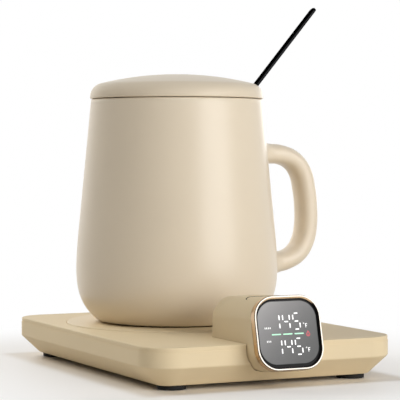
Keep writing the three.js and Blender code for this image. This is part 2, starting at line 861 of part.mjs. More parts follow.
function mainCircuitBoard() {
  const onBoard = (sizeX, sizeY, height, x, y) =>
    block(sizeX, sizeY, boardTopZ - slimGap, boardTopZ + height, [x, boardCentreY + y]);
  const board = block(mainBoardWidth, mainBoardDepth, boardSeatZ, boardTopZ, [0, boardCentreY]);
  const row = mainBoardDepth / 4;
  return joined([
    board,
    onBoard(capacitorLength, capacitorWidth, capacitorHeight, -mainBoardWidth / 4, row),
    onBoard(relayLength, relayWidth, relayHeight, mainBoardWidth / 4, row),
    onBoard(chipSize, chipSize, chipHeight, -chipSize, -row),
    onBoard(terminalLength, terminalWidth, terminalHeight, mainBoardWidth / 4, -row),
    onBoard(terminalLength, terminalWidth, terminalHeight, -mainBoardWidth / 3, -row),
  ]);
}

// Mug

const mugZ = plateTopZ;
const mugTopZ = mugZ + mugHeight;
const mugInnerRimRadius = mugRimRadius - mugWall;
const mugFootRadius = mugBottomRadius - mugFootInset;

function curvePoints(path, steps) {
  return path.getPoints(steps).map((point) => [point.x, point.y]);
}

// The mug's outline from the edge of its foot up to the rim, offset inward by inset
function mugOutline(inset) {
  const taperX = mugTaperRadius - mugRimRadius;
  const taperY = mugHeight - mugTaperHeight;
  const taperLength = Math.hypot(taperX, taperY);
  const reach = mugTaperReachShare * mugBellyHeight;
  const path = new THREE.Path();
  path.moveTo(mugBottomRadius - inset, mugFootHeight);
  path.bezierCurveTo(
    mugBottomRadius - inset + mugBottomReachShare * mugBellyHeight * Math.cos(mugBottomAngle),
    mugFootHeight + mugBottomReachShare * mugBellyHeight * Math.sin(mugBottomAngle),
    mugBellyRadius - inset,
    mugBellyHeight * (1 - mugBellyDownShare),
    mugBellyRadius - inset,
    mugBellyHeight,
  );
  path.bezierCurveTo(
    mugBellyRadius - inset,
    mugBellyHeight * (1 + mugBellyUpShare),
    mugTaperRadius - inset + (reach * taperX) / taperLength,
    mugTaperHeight - (reach * taperY) / taperLength,
    mugTaperRadius - inset,
    mugTaperHeight,
  );
  path.lineTo(mugRimRadius - inset, mugHeight);
  return path;
}

function arcPoints(centreX, centreY, radius, startAngle, endAngle, steps) {
  return Array.from({ length: steps + 1 }, (unused, i) => {
    const angle = THREE.MathUtils.lerp(startAngle, endAngle, i / steps);
    return [centreX + radius * Math.cos(angle), centreY + radius * Math.sin(angle)];
  });
}

// The inner wall from the middle of the floor up to the lip, in the mug's own heights
function mugInnerPoints() {
  const floorTop = mugFootHeight + mugFloor;
  const wallPoints = curvePoints(mugOutline(mugWall), curveSteps)
    .filter(([, z]) => z > floorTop + mugFloor && z < mugHeight - mugLipRadius);
  const cornerStart = [wallPoints[0][0] - mugFloor, floorTop];
  return [[0, floorTop], cornerStart, ...wallPoints];
}

function mugCup() {
  const outer = curvePoints(mugOutline(0), curveSteps).slice(0, -1);
  const inner = mugInnerPoints().reverse();
  return revolved([
    [0, mugFootHollow],
    [mugFootRadius - mugFootWidth, mugFootHollow],
    [mugFootRadius - mugFootWidth, 0],
    [mugFootRadius, 0],
    [mugFootRadius, mugFootHeight],
    ...outer,
    ...arcPoints(mugRimRadius - mugRimFillet, mugHeight - mugRimFillet, mugRimFillet, 0, Math.PI / 2, 2),
    ...arcPoints(mugInnerRimRadius + mugLipRadius, mugHeight - mugLipRadius, mugLipRadius,
      Math.PI / 2, Math.PI, filletSteps),
    ...inner,
  ], mugSides);
}

function handleCurve() {
  const rise = handleUpperHeight - handleLowerHeight;
  const middle = handleShares.map(([outShare, upShare]) =>
    new THREE.Vector3(outShare * handleReach, 0, handleLowerHeight + upShare * rise));
  const rootAt = (height, span) => {
    const share = THREE.MathUtils.inverseLerp(mugHeight, mugTaperHeight, height);
    const wall = THREE.MathUtils.lerp(mugRimRadius, mugTaperRadius, Math.min(share, 1));
    return new THREE.Vector3(Math.min(wall, mugBellyRadius) - mugWall / 2 + span, 0, height);
  };
  const upper = rootAt(handleUpperHeight, 0);
  const lower = rootAt(handleLowerHeight, mugBellyRadius - mugTaperRadius);
  return new THREE.CatmullRomCurve3([upper, ...middle, lower], false, 'centripetal');
}

function mugHandle() {
  const section = new THREE.Shape(Array.from({ length: handleSectionPoints }, (unused, i) => {
    const angle = (2 * Math.PI * i) / handleSectionPoints;
    const rounded = (value) => Math.sign(value) * Math.abs(value) ** (2 / handleSectionPower);
    return new THREE.Vector2(
      (handleWidth / 2) * rounded(Math.cos(angle)),
      (handleThickness / 2) * rounded(Math.sin(angle)),
    );
  }));
  const geometry = new THREE.ExtrudeGeometry(section, { steps: handleSteps, extrudePath: handleCurve() });
  return toSolid(geometry);
}

function mugBody() {
  return mugCup().add(mugHandle()).translate([0, 0, mugZ]);
}

// Lid

const lidBottomZ = mugTopZ + seatGap;
const lidRadius = mugRimRadius + lidOverhang;
const spoonSlotFromAxis = mugInnerRimRadius - spoonSlotInset;

function mugLid() {
  const edgeCentreX = lidRadius - lidEdgeRadius;
  const domeHeight = lidRise - lidSideHeight;
  const domeRadius = (domeHeight ** 2 + edgeCentreX ** 2 - lidEdgeRadius ** 2) / (2 * (domeHeight - lidEdgeRadius));
  const domeCentre = lidRise - domeRadius;
  const meetAngle = Math.atan2(lidSideHeight - domeCentre, edgeCentreX);
  const ceiling = lidRise - lidThickness;
  const skirtOuter = mugInnerRimRadius - lidSkirtGap;
  const skirtInner = skirtOuter - lidSkirtThickness;
  const skirtBottom = -seatGap - lidSkirtDepth;
  return revolved([
    [0, ceiling],
    [skirtInner - lidSkirtThickness, ceiling],
    [skirtInner, ceiling - lidSkirtThickness],
    [skirtInner, skirtBottom + lidLowerEdge],
    [skirtInner + lidLowerEdge, skirtBottom],
    [skirtOuter - lidLowerEdge, skirtBottom],
    [skirtOuter, skirtBottom + lidLowerEdge],
    [skirtOuter, 0],
    ...arcPoints(lidRadius - lidLowerEdge, lidLowerEdge, lidLowerEdge, -Math.PI / 2, 0, 2),
    ...arcPoints(edgeCentreX, lidSideHeight, lidEdgeRadius, 0, meetAngle, curveSteps),
    ...arcPoints(0, domeCentre, domeRadius, meetAngle, Math.PI / 2, filletSteps).slice(1),
  ], mugSides).translate([0, 0, lidBottomZ]).subtract(spoonSlot());
}

function spoonSlot() {
  const half = spoonSlotWidth / 2;
  const shape = new THREE.Shape();
  shape.moveTo(lidRadius + overrun, half);
  shape.lineTo(spoonSlotFromAxis, half);
  shape.absarc(spoonSlotFromAxis, 0, half, Math.PI / 2, 1.5 * Math.PI, false);
  shape.lineTo(lidRadius + overrun, -half);
  const low = lidBottomZ - lidSkirtDepth - 2 * overrun;
  const high = lidBottomZ + lidRise + overrun;
  const geometry = new THREE.ExtrudeGeometry(shape, {
    depth: high - low,
    bevelEnabled: false,
    curveSegments: smallSides,
  });
  geometry.translate(0, 0, low);
  return toSolid(geometry);
}

// Spoon

const spoonAlong = new THREE.Vector3(Math.sin(spoonLean), 0, Math.cos(spoonLean));
const spoonUnder = new THREE.Vector3(Math.cos(spoonLean), 0, -Math.sin(spoonLean));
const lipCentre = new THREE.Vector3(mugInnerRimRadius + mugLipRadius, 0, mugTopZ - mugLipRadius);
const spoonRest = lipCentre.clone()
  .addScaledVector(spoonUnder, -(mugLipRadius + seatGap + spoonThickness / 2));

// How far the spoon's axis runs down from its rest on the lip before it meets the wall or floor
function runToWall() {
  const wall = mugInnerPoints().map(([radius, z]) => new THREE.Vector2(-radius, z + mugZ));
  const runs = [];
  for (let i = 0; i + 1 < wall.length; i++) {
    const [start, side] = [wall[i], wall[i + 1].clone().sub(wall[i])];
    const cross = spoonAlong.x * side.y - spoonAlong.z * side.x;
    const [dx, dz] = [spoonRest.x - start.x, spoonRest.z - start.y];
    const run = (dx * side.y - dz * side.x) / cross;
    const share = (dx * spoonAlong.z - dz * spoonAlong.x) / cross;
    if (run > 0 && share >= 0 && share <= 1) runs.push(run);
  }
  return Math.min(...runs);
}

// The spoon in its own frame: z along the handle, x to its underside, z = 0 at its rest
function spoonSolid() {
  const tipZ = -runToWall() + bowlDepth / 2 + seatGap;
  const bowlTopZ = tipZ + bowlLength;
  const handleLength = spoonStandout - bowlTopZ + bowlOverlap;
  const face = new THREE.Shape();
  const half = spoonWidth / 2;
  face.moveTo(-half, 0);
  face.lineTo(half, 0);
  face.lineTo(half, handleLength - half);
  face.absarc(0, handleLength - half, half, 0, Math.PI, false);
  const handleGeometry = new THREE.ExtrudeGeometry(face, {
    depth: spoonThickness,
    bevelEnabled: false,
    curveSegments: smallSides,
  });
  handleGeometry.rotateX(Math.PI / 2);
  handleGeometry.rotateZ(Math.PI / 2);
  handleGeometry.translate(-spoonThickness / 2, 0, bowlTopZ - bowlOverlap);
  const shellOf = (inset) => {
    const geometry = new THREE.SphereGeometry(1, roundSides / 2, smallSides);
    geometry.scale(bowlDepth - inset, bowlWidth / 2 - inset, bowlLength / 2 - inset);
    geometry.translate(-spoonThickness / 2, 0, tipZ + bowlLength / 2);
    return toSolid(geometry);
  };
  const rimCut = block(2 * bowlDepth, bowlWidth + overrun, tipZ - overrun, bowlTopZ + overrun,
    [-bowlDepth - spoonThickness / 2, 0]);
  const bowl = cut(shellOf(0), [shellOf(bowlWall), rimCut]);
  const hollow = shellOf(bowlWall);
  return toSolid(handleGeometry).subtract(hollow).add(bowl);
}

function spoon() {
  const basis = new THREE.Matrix4().makeBasis(spoonUnder, new THREE.Vector3(0, 1, 0), spoonAlong);
  basis.setPosition(spoonRest);
  return spoonSolid().transform(basis.toArray());
}

// Materials

function material(color, roughness, metalness = 0) {
  return new THREE.MeshStandardMaterial({ color, roughness, metalness });
}

const creamPlastic = material(0xd8c7a5, 0.45);
const creamGlaze = material(0xdccbab, 0.35);
const creamCoating = material(0xdac8a6, 0.4);
const blackRubber = material(0x141414, 0.8);
const steel = material(0xb8b8b8, 0.35, 1);
const springSteel = material(0xa0a0a0, 0.3, 1);
const roseGold = material(0xd9a989, 0.18, 1);
const smokedGlass = material(0x3b3d3f, 0.06);
const blackPlastic = material(0x101010, 0.6);
const blackSteel = material(0x0d0d0d, 0.35, 0.6);
const boardGreen = material(0x1f5a3a, 0.6);
const mica = material(0xb98d4e, 0.6);
const whiteFibre = material(0xe9e6dd, 0.95);
const greyNylon = material(0x7b7b78, 0.6);
const fuseWhite = material(0xd8d4c8, 0.5);

const model = new THREE.Group();
model.add(
  toMesh('bottom_tub', bottomTub(), creamPlastic),
  toMesh('top_cover', topCover(), creamPlastic),
  ...footCentres.map((place, i) => toMesh(`rubber_foot_${i + 1}`, rubberFoot(place), blackRubber)),
  ...screwCentres.map((place, i) => toMesh(`cover_screw_${i + 1}`, coverScrew(place), steel)),
  toMesh('heating_plate', heatingPlate(), creamCoating),
  toMesh('heater_element', heaterElement(), mica),
  toMesh('insulation_pad', insulationPad(), whiteFibre),
  toMesh('plate_carrier', plateCarrier(), greyNylon),
  ...guideCentres.map((place, i) => toMesh(`plate_spring_${i + 1}`, plateSpring(place), springSteel)),
  toMesh('weight_switch', weightSwitch(), blackPlastic),
  toMesh('temperature_sensor', temperatureSensor(), steel),
  toMesh('thermal_fuse', thermalFuse(), fuseWhite),
  toMesh('main_circuit_board', mainCircuitBoard(), boardGreen),
  toMesh('cord_bush', cordBush(), blackRubber),
  toMesh('display_housing', displayHousing(), creamPlastic),
  toMesh('bezel_ring', bezelRing(), roseGold),
  toMesh('display_glass', displayGlass(), smokedGlass),
  toMesh('light_mask', lightMask(), blackPlastic),
  toMesh('display_board', displayBoard(), boardGreen),
  toMesh('button_cap', buttonCap(), creamPlastic),
  toMesh('button_switch', buttonSwitch(), blackPlastic),
  toMesh('button_board', buttonBoard(), boardGreen),
  toMesh('mug_body', mugBody(), creamGlaze),
  toMesh('lid', mugLid(), creamGlaze),
  toMesh('spoon', spoon(), blackSteel),
);

// The origin: on the desk, under the middle of the space that the whole object takes up
const space = new THREE.Box3().setFromObject(model);
const middle = space.getCenter(new THREE.Vector3());
model.position.set(-middle.x, -middle.y, -space.min.z);

const mugWarmer = new THREE.Group();
mugWarmer.add(model);

export default mugWarmer;
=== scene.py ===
from math import atan, copysign, cos, hypot, pi, radians, sin, tan

import bmesh
import bpy
from bpy.props import FloatProperty, FloatVectorProperty, IntProperty, PointerProperty
from bpy.types import Operator, Panel, PropertyGroup
from mathutils import Matrix, Vector
from mathutils.geometry import interpolate_bezier
from mathutils.kdtree import KDTree


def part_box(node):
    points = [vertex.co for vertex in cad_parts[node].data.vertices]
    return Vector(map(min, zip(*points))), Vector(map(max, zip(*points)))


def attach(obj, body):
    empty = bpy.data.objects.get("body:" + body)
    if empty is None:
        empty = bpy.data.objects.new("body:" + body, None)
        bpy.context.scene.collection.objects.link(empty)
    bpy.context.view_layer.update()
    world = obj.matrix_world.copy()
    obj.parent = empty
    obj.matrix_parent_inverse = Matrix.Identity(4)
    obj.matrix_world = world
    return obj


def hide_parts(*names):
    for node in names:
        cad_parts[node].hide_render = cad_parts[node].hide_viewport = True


bl_info = {
    "name": "Mug Warmer",
    "version": (1, 0, 0),
    "blender": (4, 5, 0),
    "location": "3D View > Sidebar > Mug Warmer",
    "description": "Builds a heated mug stand with its display, lidded mug and spoon",
    "category": "Object",
}

MM = 0.001

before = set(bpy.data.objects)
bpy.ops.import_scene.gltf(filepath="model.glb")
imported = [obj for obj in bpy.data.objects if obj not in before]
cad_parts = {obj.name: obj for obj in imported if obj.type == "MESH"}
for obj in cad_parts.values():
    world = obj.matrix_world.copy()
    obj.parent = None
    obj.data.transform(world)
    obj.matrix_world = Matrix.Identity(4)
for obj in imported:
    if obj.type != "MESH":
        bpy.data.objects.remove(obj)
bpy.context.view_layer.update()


def node_size(node):
    low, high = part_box(node)
    return high - low


def node_middle(node):
    low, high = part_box(node)
    return (low + high) / 2


# The mug's axis where it meets the cover's top: every piece is modelled from here
SEAT = Vector((*node_middle("heating_plate").xy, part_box("top_cover")[1].z))


def below_seat(node, end=0):
    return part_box(node)[end].z - SEAT.z


# Sizes, colours and settings


def length(name, description, metres):
    return FloatProperty(
        name=name, description=description, default=metres, unit="LENGTH", precision=5
    )


def angle(name, description, degrees):
    return FloatProperty(
        name=name, description=description, default=radians(degrees), subtype="ANGLE"
    )


def colour(name, description, default):
    settings = {"size": 3, "min": 0, "max": 1, "subtype": "COLOR"}
    return FloatVectorProperty(name=name, description=description, default=default, **settings)


class StandSizes(PropertyGroup):
    half_width: length(
        "Half width", "From the middle to a long side", node_size("bottom_tub").x / 2
    )
    back: length("Back", "From the mug's axis to the back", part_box("bottom_tub")[1].y - SEAT.y)
    front: length("Front", "From the mug's axis to the front", SEAT.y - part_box("bottom_tub")[0].y)
    corner_radius: length("Corner radius", "Radius of the four upright corners", 14 * MM)
    cover_thickness: length("Cover thickness", "Thickness of the flat cover", 2 * MM)
    cover_edge: length("Cover edge", "Radius of the cover's upper edge", 0.5 * MM)
    cover_inset: length("Cover inset", "Step from the tub's side to the cover's", 0.1 * MM)
    band_height: length("Band height", "Height of the upright band under the cover", 6.4 * MM)
    chamfer_width: length("Chamfer width", "How far the foot of the tub is drawn in", 8.6 * MM)
    crease_radius: length("Crease radius", "Rounding between band and chamfer", 0.5 * MM)
    wall: length("Wall", "Wall of the tub", 2 * MM)
    cover_draft: length("Cover draft", "How far the cover's side leans in at its foot", 0.17 * MM)
    opening_radius: length("Opening", "Radius of the hole for the plate", 51.12 * MM)
    plate_edge: length("Plate edge", "Radius of the plate's upper edge", 0.8 * MM)
    foot_edge: length("Foot edge", "Rounding of the rubber feet", 0.5 * MM)


class DisplaySizes(PropertyGroup):
    half: length("Half size", "Half of the barrel's width and height", 15.5 * MM)
    corner_radius: length("Corner radius", "Radius of the barrel's four corners", 9.3 * MM)
    wall: length("Wall", "Wall of the barrel", 2 * MM)
    back_fillet: length("Back fillet", "Rounding of the barrel's back edge", 3.4 * MM)
    back_middle: length("Back middle", "Height of the barrel's middle at its back", 1.5 * MM)
    front_middle: length("Front middle", "Height of the barrel's middle at its face", 4.86 * MM)
    overhang: length("Overhang", "How far the face stands before the stand", 8 * MM)
    tilt: angle("Tilt", "How far the face leans back", 13)
    bezel_depth: length("Bezel depth", "Depth of the metal ring's side", 3.4 * MM)
    lip: length("Lip", "Width of the ring's front lip", 0.48 * MM)
    recess: length("Recess", "Depth of the window behind the ring's lip", 1.2 * MM)
    border: length("Border", "Width of the window's black border", 1.3 * MM)
    gap: length("Gap", "Gap round the barrel and the button", 0.3 * MM)


class MugSizes(PropertyGroup):
    height: length("Height", "From foot to rim", 102.3 * MM)
    rim_radius: length("Rim radius", "Outer radius at the rim", 39.55 * MM)
    taper_radius: length("Taper radius", "Radius where the straight wall starts", 44.62 * MM)
    taper_height: length("Taper height", "Height where the straight wall starts", 50.4 * MM)
    belly_radius: length("Belly radius", "Largest outer radius", 46.55 * MM)
    belly_height: length("Belly height", "Height of the largest radius", 24.5 * MM)
    bottom_radius: length("Bottom radius", "Outer radius at the bottom's edge", 36.5 * MM)
    wall: length("Wall", "Thickness of the wall", 4.2 * MM)
    floor: length("Floor", "Thickness of the floor", 5 * MM)
    handle_width: length("Handle width", "Width of the handle's band", 14 * MM)
    handle_thickness: length("Handle thickness", "Thickness of the handle's band", 9.2 * MM)
    lid_rise: length("Lid rise", "From the lid's lower edge to its crown", 11.3 * MM)
    lid_edge: length("Lid edge", "Radius of the lid's shoulder", 6.2 * MM)
    slot_width: length("Slot width", "Width of the slot for the spoon", 8 * MM)


class SpoonSizes(PropertyGroup):
    lean: angle("Lean", "How far the spoon leans from upright", 40.5)
    standout: length("Standout", "From the mug's lip to the handle's tip", 58.5 * MM)
    width: length("Width", "Width of the handle", 4.4 * MM)
    thickness: length("Thickness", "Thickness of the handle", 1.2 * MM)
    bowl_length: length("Bowl length", "Length of the bowl", 36 * MM)
    bowl_width: length("Bowl width", "Width of the bowl", 23 * MM)
    bowl_depth: length("Bowl depth", "Depth of the bowl", 5.5 * MM)


class FinishColours(PropertyGroup):
    moulding: colour("Moulding", "Satin moulded stand", (0.78, 0.645, 0.425))
    glaze: colour("Glaze", "Satin glaze of mug and lid", (0.75, 0.65, 0.505))
    # Painted shadow: this near-black foot colour stands in for the shadow in the gap under the mug
    painted_foot_shadow: colour("Bare clay", "Unglazed foot of the mug", (0.09, 0.06, 0.035))
    rubber: colour("Rubber", "Feet and cord bush", (0.010, 0.0095, 0.009))
    gold: colour("Gold", "Polished side of the display's ring", (0.62, 0.44, 0.27))
    # Painted highlight: the lip's pale colour stands in for the glint on the ring's front
    lip: colour("Lip", "Pale front lip of the display's ring", (0.94, 0.87, 0.78))
    # Painted reflection: the window's grey runs between these two colours
    window_reflection_light: colour("Window, light side", "Window at its upper left", (0.45, 0.44, 0.445))
    window_reflection_dark: colour("Window, dark side", "Window at its lower right", (0.115, 0.118, 0.118))
    digits: colour("Digits", "Lit digits and ticks", (1, 1, 1))
    bars: colour("Bars", "Lit level bars", (0.50, 0.95, 0.66))
    drop: colour("Drop", "Lit heating mark", (0.50, 0.07, 0.09))
    spoon: colour("Spoon", "Black coated steel", (0.006, 0.006, 0.0065))


class StageSettings(PropertyGroup):
    camera_place: FloatVectorProperty(
        name="Camera",
        description="Where the camera stands",
        default=(-0.356266, -0.713650, 0.097998),
        subtype="TRANSLATION",
        unit="LENGTH",
    )
    camera_aim: FloatVectorProperty(
        name="Aim",
        description="The direction in which the camera looks",
        default=(0.43892, 0.89808, -0.02838),
        subtype="DIRECTION",
    )
    lens: FloatProperty(name="Lens", description="Focal length in millimetres", default=158.64)
    ambient: FloatProperty(
        name="Ambient", description="Light from all round the room", default=0.02, min=0
    )
    floor_colour: colour("Floor", "Pale floor under the object", (0.79, 0.742, 0.672))


GROUPS = {
    "warmer_stand": StandSizes,
    "warmer_display": DisplaySizes,
    "warmer_mug": MugSizes,
    "warmer_spoon": SpoonSizes,
    "warmer_colours": FinishColours,
    "warmer_stage": StageSettings,
}


# Shader maths


class Value:
    """An output socket that takes part in Python sums, each of which adds a Math node."""

    def __init__(self, nodes, socket):
        self.nodes = nodes
        self.socket = socket

    def output(self, name):
        return Value(self.nodes, self.socket.node.outputs[name])

    def maths(self, operation, *values):
        return self.nodes.node("Math", {"operation": operation}, dict(enumerate(values)))

    def __add__(self, other):
        return self.maths("ADD", self, other)

    def __radd__(self, other):
        return self.maths("ADD", other, self)

    def __sub__(self, other):
        return self.maths("SUBTRACT", self, other)

    def __rsub__(self, other):
        return self.maths("SUBTRACT", other, self)

    def __mul__(self, other):
        return self.maths("MULTIPLY", self, other)

    def __rmul__(self, other):
        return self.maths("MULTIPLY", other, self)

    def __truediv__(self, other):
        return self.maths("DIVIDE", self, other)

    def __pow__(self, other):
        return self.maths("POWER", self, other)

    def __abs__(self):
        return self.maths("ABSOLUTE", self)

    def at_least(self, other):
        return self.maths("MAXIMUM", self, other)

    def at_most(self, other):
        return self.maths("MINIMUM", self, other)

    def ramp(self, start, end):
        """0 below start, 1 above end, and a smooth rise between them."""
        settings = {"interpolation_type": "SMOOTHSTEP"}
        inputs = {"Value": self, "From Min": start, "From Max": end}
        return self.nodes.node("MapRange", settings, inputs)


class Nodes:
    """A node tree in the making."""

    def __init__(self, owner):
        owner.use_nodes = True
        self.tree = owner.node_tree

    def node(self, kind, settings=None, inputs=None):
        made = self.tree.nodes.new("ShaderNode" + kind)
        for setting, value in (settings or {}).items():
            setattr(made, setting, value)
        for socket, value in (inputs or {}).items():
            self.feed(made.inputs[socket], value)
        return Value(self, next(output for output in made.outputs if output.enabled))

    def feed(self, socket, value):
        if isinstance(value, Value):
            self.tree.links.new(value.socket, socket)
        else:
            socket.default_value = value

    def seen(self):
        """1 for the rays that show a surface: straight on, mirrored or through glass."""
        path = self.node("LightPath")
        seen = path.output("Is Camera Ray").at_least(path.output("Is Glossy Ray"))
        return seen.at_least(path.output("Is Transmission Ray"))


class Finish(Nodes):
    """A material in the making, with one Principled shader."""

    def __init__(self, name, constants=None):
        self.material = bpy.data.materials.new(name)
        super().__init__(self.material)
        self.surface = self.tree.nodes["Principled BSDF"]
        for socket, value in (constants or {}).items():
            self.drive(socket, value)

    def drive(self, socket, value):
        self.feed(self.surface.inputs[socket], value)
        return self

    def place(self, scale=(1, 1, 1), turn=(0, 0, 0), shift=(0, 0, 0)):
        """Object coordinates, moved, turned and scaled."""
        coordinates = self.node("TexCoord").output("Object")
        inputs = {"Vector": coordinates, "Location": shift, "Rotation": turn, "Scale": scale}
        return self.node("Mapping", {"vector_type": "POINT"}, inputs)

    def axes(self, place):
        parts = self.node("SeparateXYZ", None, {"Vector": place})
        return [parts.output(axis) for axis in "XYZ"]

    def display_axes(self, display):
        """The display's own axes: across, up its face and out of it."""
        inverse = display_matrix(display).inverted()
        return self.axes(self.place(turn=inverse.to_euler(), shift=inverse.translation))

    def noise(self, scale, detail=2, roughness=0.5, place=None):
        inputs = {"Scale": scale, "Detail": detail, "Roughness": roughness}
        return self.node("TexNoise", None, {"Vector": place or self.place(), **inputs})

    def mix(self, factor, first, second):
        made = self.tree.nodes.new("ShaderNodeMix")
        made.data_type = "RGBA"
        names = {socket.identifier: socket for socket in made.inputs}
        self.feed(names["Factor_Float"], factor)
        self.feed(names["A_Color"], first if isinstance(first, Value) else (*first, 1))
        self.feed(names["B_Color"], second if isinstance(second, Value) else (*second, 1))
        return Value(self, next(output for output in made.outputs if output.enabled))

    def bump(self, height, distance, strength=1):
        inputs = {"Height": height, "Distance": distance, "Strength": strength}
        return self.drive("Normal", self.node("Bump", None, inputs))

    def tones(self, factor, tone, dark, light):
        """The tone, made darker and lighter by turns."""
        return self.drive("Base Color", self.mix(factor, toned(tone, dark), toned(tone, light)))

    def gloss(self, start, spread, scale):
        """A roughness that varies up from its start by the spread."""
        return self.drive("Roughness", start + spread * self.noise(scale, 2))


def toned(tone, amount):
    return tuple(min(channel * amount, 1) for channel in tone)


def beyond(across, up, half_x, half_y, radius=0):
    """How far a point lies outside a rectangle that is smaller all round by radius."""
    out_x = (abs(across) - (half_x - radius)).at_least(0)
    out_y = (abs(up) - (half_y - radius)).at_least(0)
    return (out_x**2 + out_y**2) ** 0.5


# Finishes


def moulded_plastic(name, tone, roughness=0.5, grain=2600):
    """Satin moulding: fine spark grain, and a gloss that varies a little."""
    finish = Finish(name, {"Specular IOR Level": 0.22})
    flow = finish.noise(26, 3)
    finish.tones(flow, tone, 0.965, 1.03)
    finish.gloss(roughness - 0.03, 0.06, 90)
    finish.bump(finish.noise(grain, 2, 0.6), 0.012 * MM, 0.6)
    return finish.material


def satin_glaze(name, tone, foot_shadow, shine=0.5):
    """Satin glaze that varies a little over the body and leaves the foot bare and rough; the foot's
    lowest band is painted near-black as the shadow in the gap under the mug.
    """
    finish = Finish(name, {"Specular IOR Level": shine})
    settled = finish.noise(34, 4, 0.55)
    glazed = finish.mix(settled, toned(tone, 0.975), toned(tone, 1.02))
    height = finish.axes(finish.place(shift=-SEAT))[2]
    # Painted shadow: the foot's lowest band takes the near-black foot colour
    foot = 1 - height.ramp(0.95 * MM, 1.25 * MM)
    finish.drive("Base Color", finish.mix(foot, glazed, foot_shadow))
    finish.drive("Roughness", (0.31 + 0.05 * finish.noise(160, 2)).at_least(foot * 0.8))
    finish.bump(finish.noise(420, 3, 0.5), 0.02 * MM, 0.5)
    return finish.material


def heatproof_coating(tone):
    """Sprayed coating of the hot plate."""
    finish = Finish("heatproof_coating", {"Specular IOR Level": 0.2})
    finish.tones(finish.noise(40, 3), tone, 0.97, 1.02)
    finish.gloss(0.36, 0.06, 300)
    finish.bump(finish.noise(1900, 2, 0.7), 0.015 * MM, 0.6)
    return finish.material


def rubber(tone):
    finish = Finish("rubber", {"Specular IOR Level": 0.25})
    finish.tones(finish.noise(120, 4), tone, 0.8, 1.5)
    finish.gloss(0.72, 0.12, 700)
    finish.bump(finish.noise(1500, 3, 0.7), 0.03 * MM, 0.7)
    return finish.material


def polished_gold(tone, lip, display):
    """Polished ring with painted light: its front lip painted pale as a highlight, the groove
    behind the lip painted dark as shade, and the inner wall painted black as shade, with a painted
    warm reflection at the wall's top.
    """
    finish = Finish("polished_gold", {"Specular IOR Level": 0.06})
    across, up, out = finish.display_axes(display)
    lines = finish.noise(900, 2, 0.6)
    # Painted highlight: the front lip is painted pale, rougher and less metallic, standing in for a
    # glint
    front = out.ramp(-0.09 * MM, -0.03 * MM)
    # Painted shade: the band of the chamfer behind the lip is painted dark
    painted_groove_shade = out.ramp(-0.44 * MM, -0.34 * MM) * (1 - front)
    inner = display.half - 0.36 * MM - display.lip
    radius = display.corner_radius - 0.36 * MM - display.lip
    away = beyond(across, up, inner, inner, radius)
    # Painted shade: the inner wall inside the lip is painted black and matte
    inside = 1 - away.ramp(radius - 0.04 * MM, radius + 0.04 * MM)
    # Painted reflection: the inner wall's top is painted a bright warm gold
    painted_warm_reflection = up.ramp(11.2 * MM, 13.2 * MM) * out.ramp(-0.8 * MM, -0.5 * MM)
    shade = finish.mix(lines, toned(tone, 0.94), toned(tone, 1.04))
    shade = finish.mix(painted_groove_shade, shade, toned(tone, 0.16))
    shade = finish.mix(front, shade, lip)
    wall = finish.mix(painted_warm_reflection, (0.006, 0.005, 0.005), toned(tone, 1.35))
    finish.drive("Base Color", finish.mix(inside, shade, wall))
    black = inside * (1 - painted_warm_reflection)
    finish.drive("Metallic", 1 - black - 0.75 * front * (1 - inside) - 0.6 * inside * painted_warm_reflection)
    finish.drive("Roughness", 0.14 + 0.06 * lines + 0.4 * black + 0.3 * front)
    return finish.material


def metal(name, tone, roughness, stretch=(1, 1, 1)):
    """Drawn or turned metal, its fine lines drawn out along one way."""
    finish = Finish(name, {"Metallic": 1})
    lines = finish.noise(500, 4, 0.6, finish.place(scale=stretch))
    finish.tones(lines, tone, 0.85, 1.1)
    finish.drive("Roughness", roughness - 0.06 + 0.12 * lines)
    finish.bump(lines, 0.01 * MM, 0.4)
    return finish.material


def black_coated_steel(tone, lean):
    """Black coated steel, brushed along the spoon."""
    finish = Finish("black_coated_steel", {"Metallic": 1, "Specular Tint": (0, 0, 0, 1)})
    along = finish.place(turn=(0, -lean, 0), scale=(40, 40, 1))
    lines = finish.noise(55, 4, 0.6, along)
    finish.tones(lines, tone, 0.8, 1.3)
    finish.drive("Roughness", 0.30 + 0.06 * lines)
    finish.bump(lines, 0.002 * MM, 0.1)
    return finish.material


def smoked_window(light, dark, display):
    """Smoked window over a backlit panel: a grey slope that is a painted reflection, lighter at its
    upper left and darker at its lower right, inside a black border.
    """
    finish = Finish("smoked_window", {"Specular IOR Level": 0.06})
    across, up, _ = finish.display_axes(display)
    radius = 7.6 * MM
    away = beyond(across - 0.05 * MM, up - 0.2 * MM, 13.85 * MM, 13.15 * MM, radius)
    border = away.ramp(radius - 0.45 * MM, radius)
    # Painted reflection: the panel's grey runs from light at its upper left to dark at its lower
    # right
    slope = (0.5 - (across * 0.55 - up * 0.62) / (2 * display.half)).at_least(0).at_most(1)
    panel = finish.mix(slope**2, dark, light)
    speck = finish.noise(5000, 1)
    panel = finish.mix(0.10 * speck, panel, (0.55, 0.55, 0.56))
    finish.drive("Base Color", finish.mix(border, panel, (0.004, 0.004, 0.004)))
    finish.drive("Roughness", 0.30 - 0.08 * border)
    return finish.material


def lit(name, tone, strength):
    """Lit mark behind the window, a little weaker in places at random."""
    finish = Finish(name, {"Roughness": 0.5, "Emission Strength": strength})
    glow = finish.noise(2200, 1)
    shown = finish.mix(glow, toned(tone, 0.9), tone)
    finish.drive("Base Color", finish.mix(glow, toned(tone, 0.5), toned(tone, 0.6)))
    finish.drive("Emission Color", shown)
    return finish.material


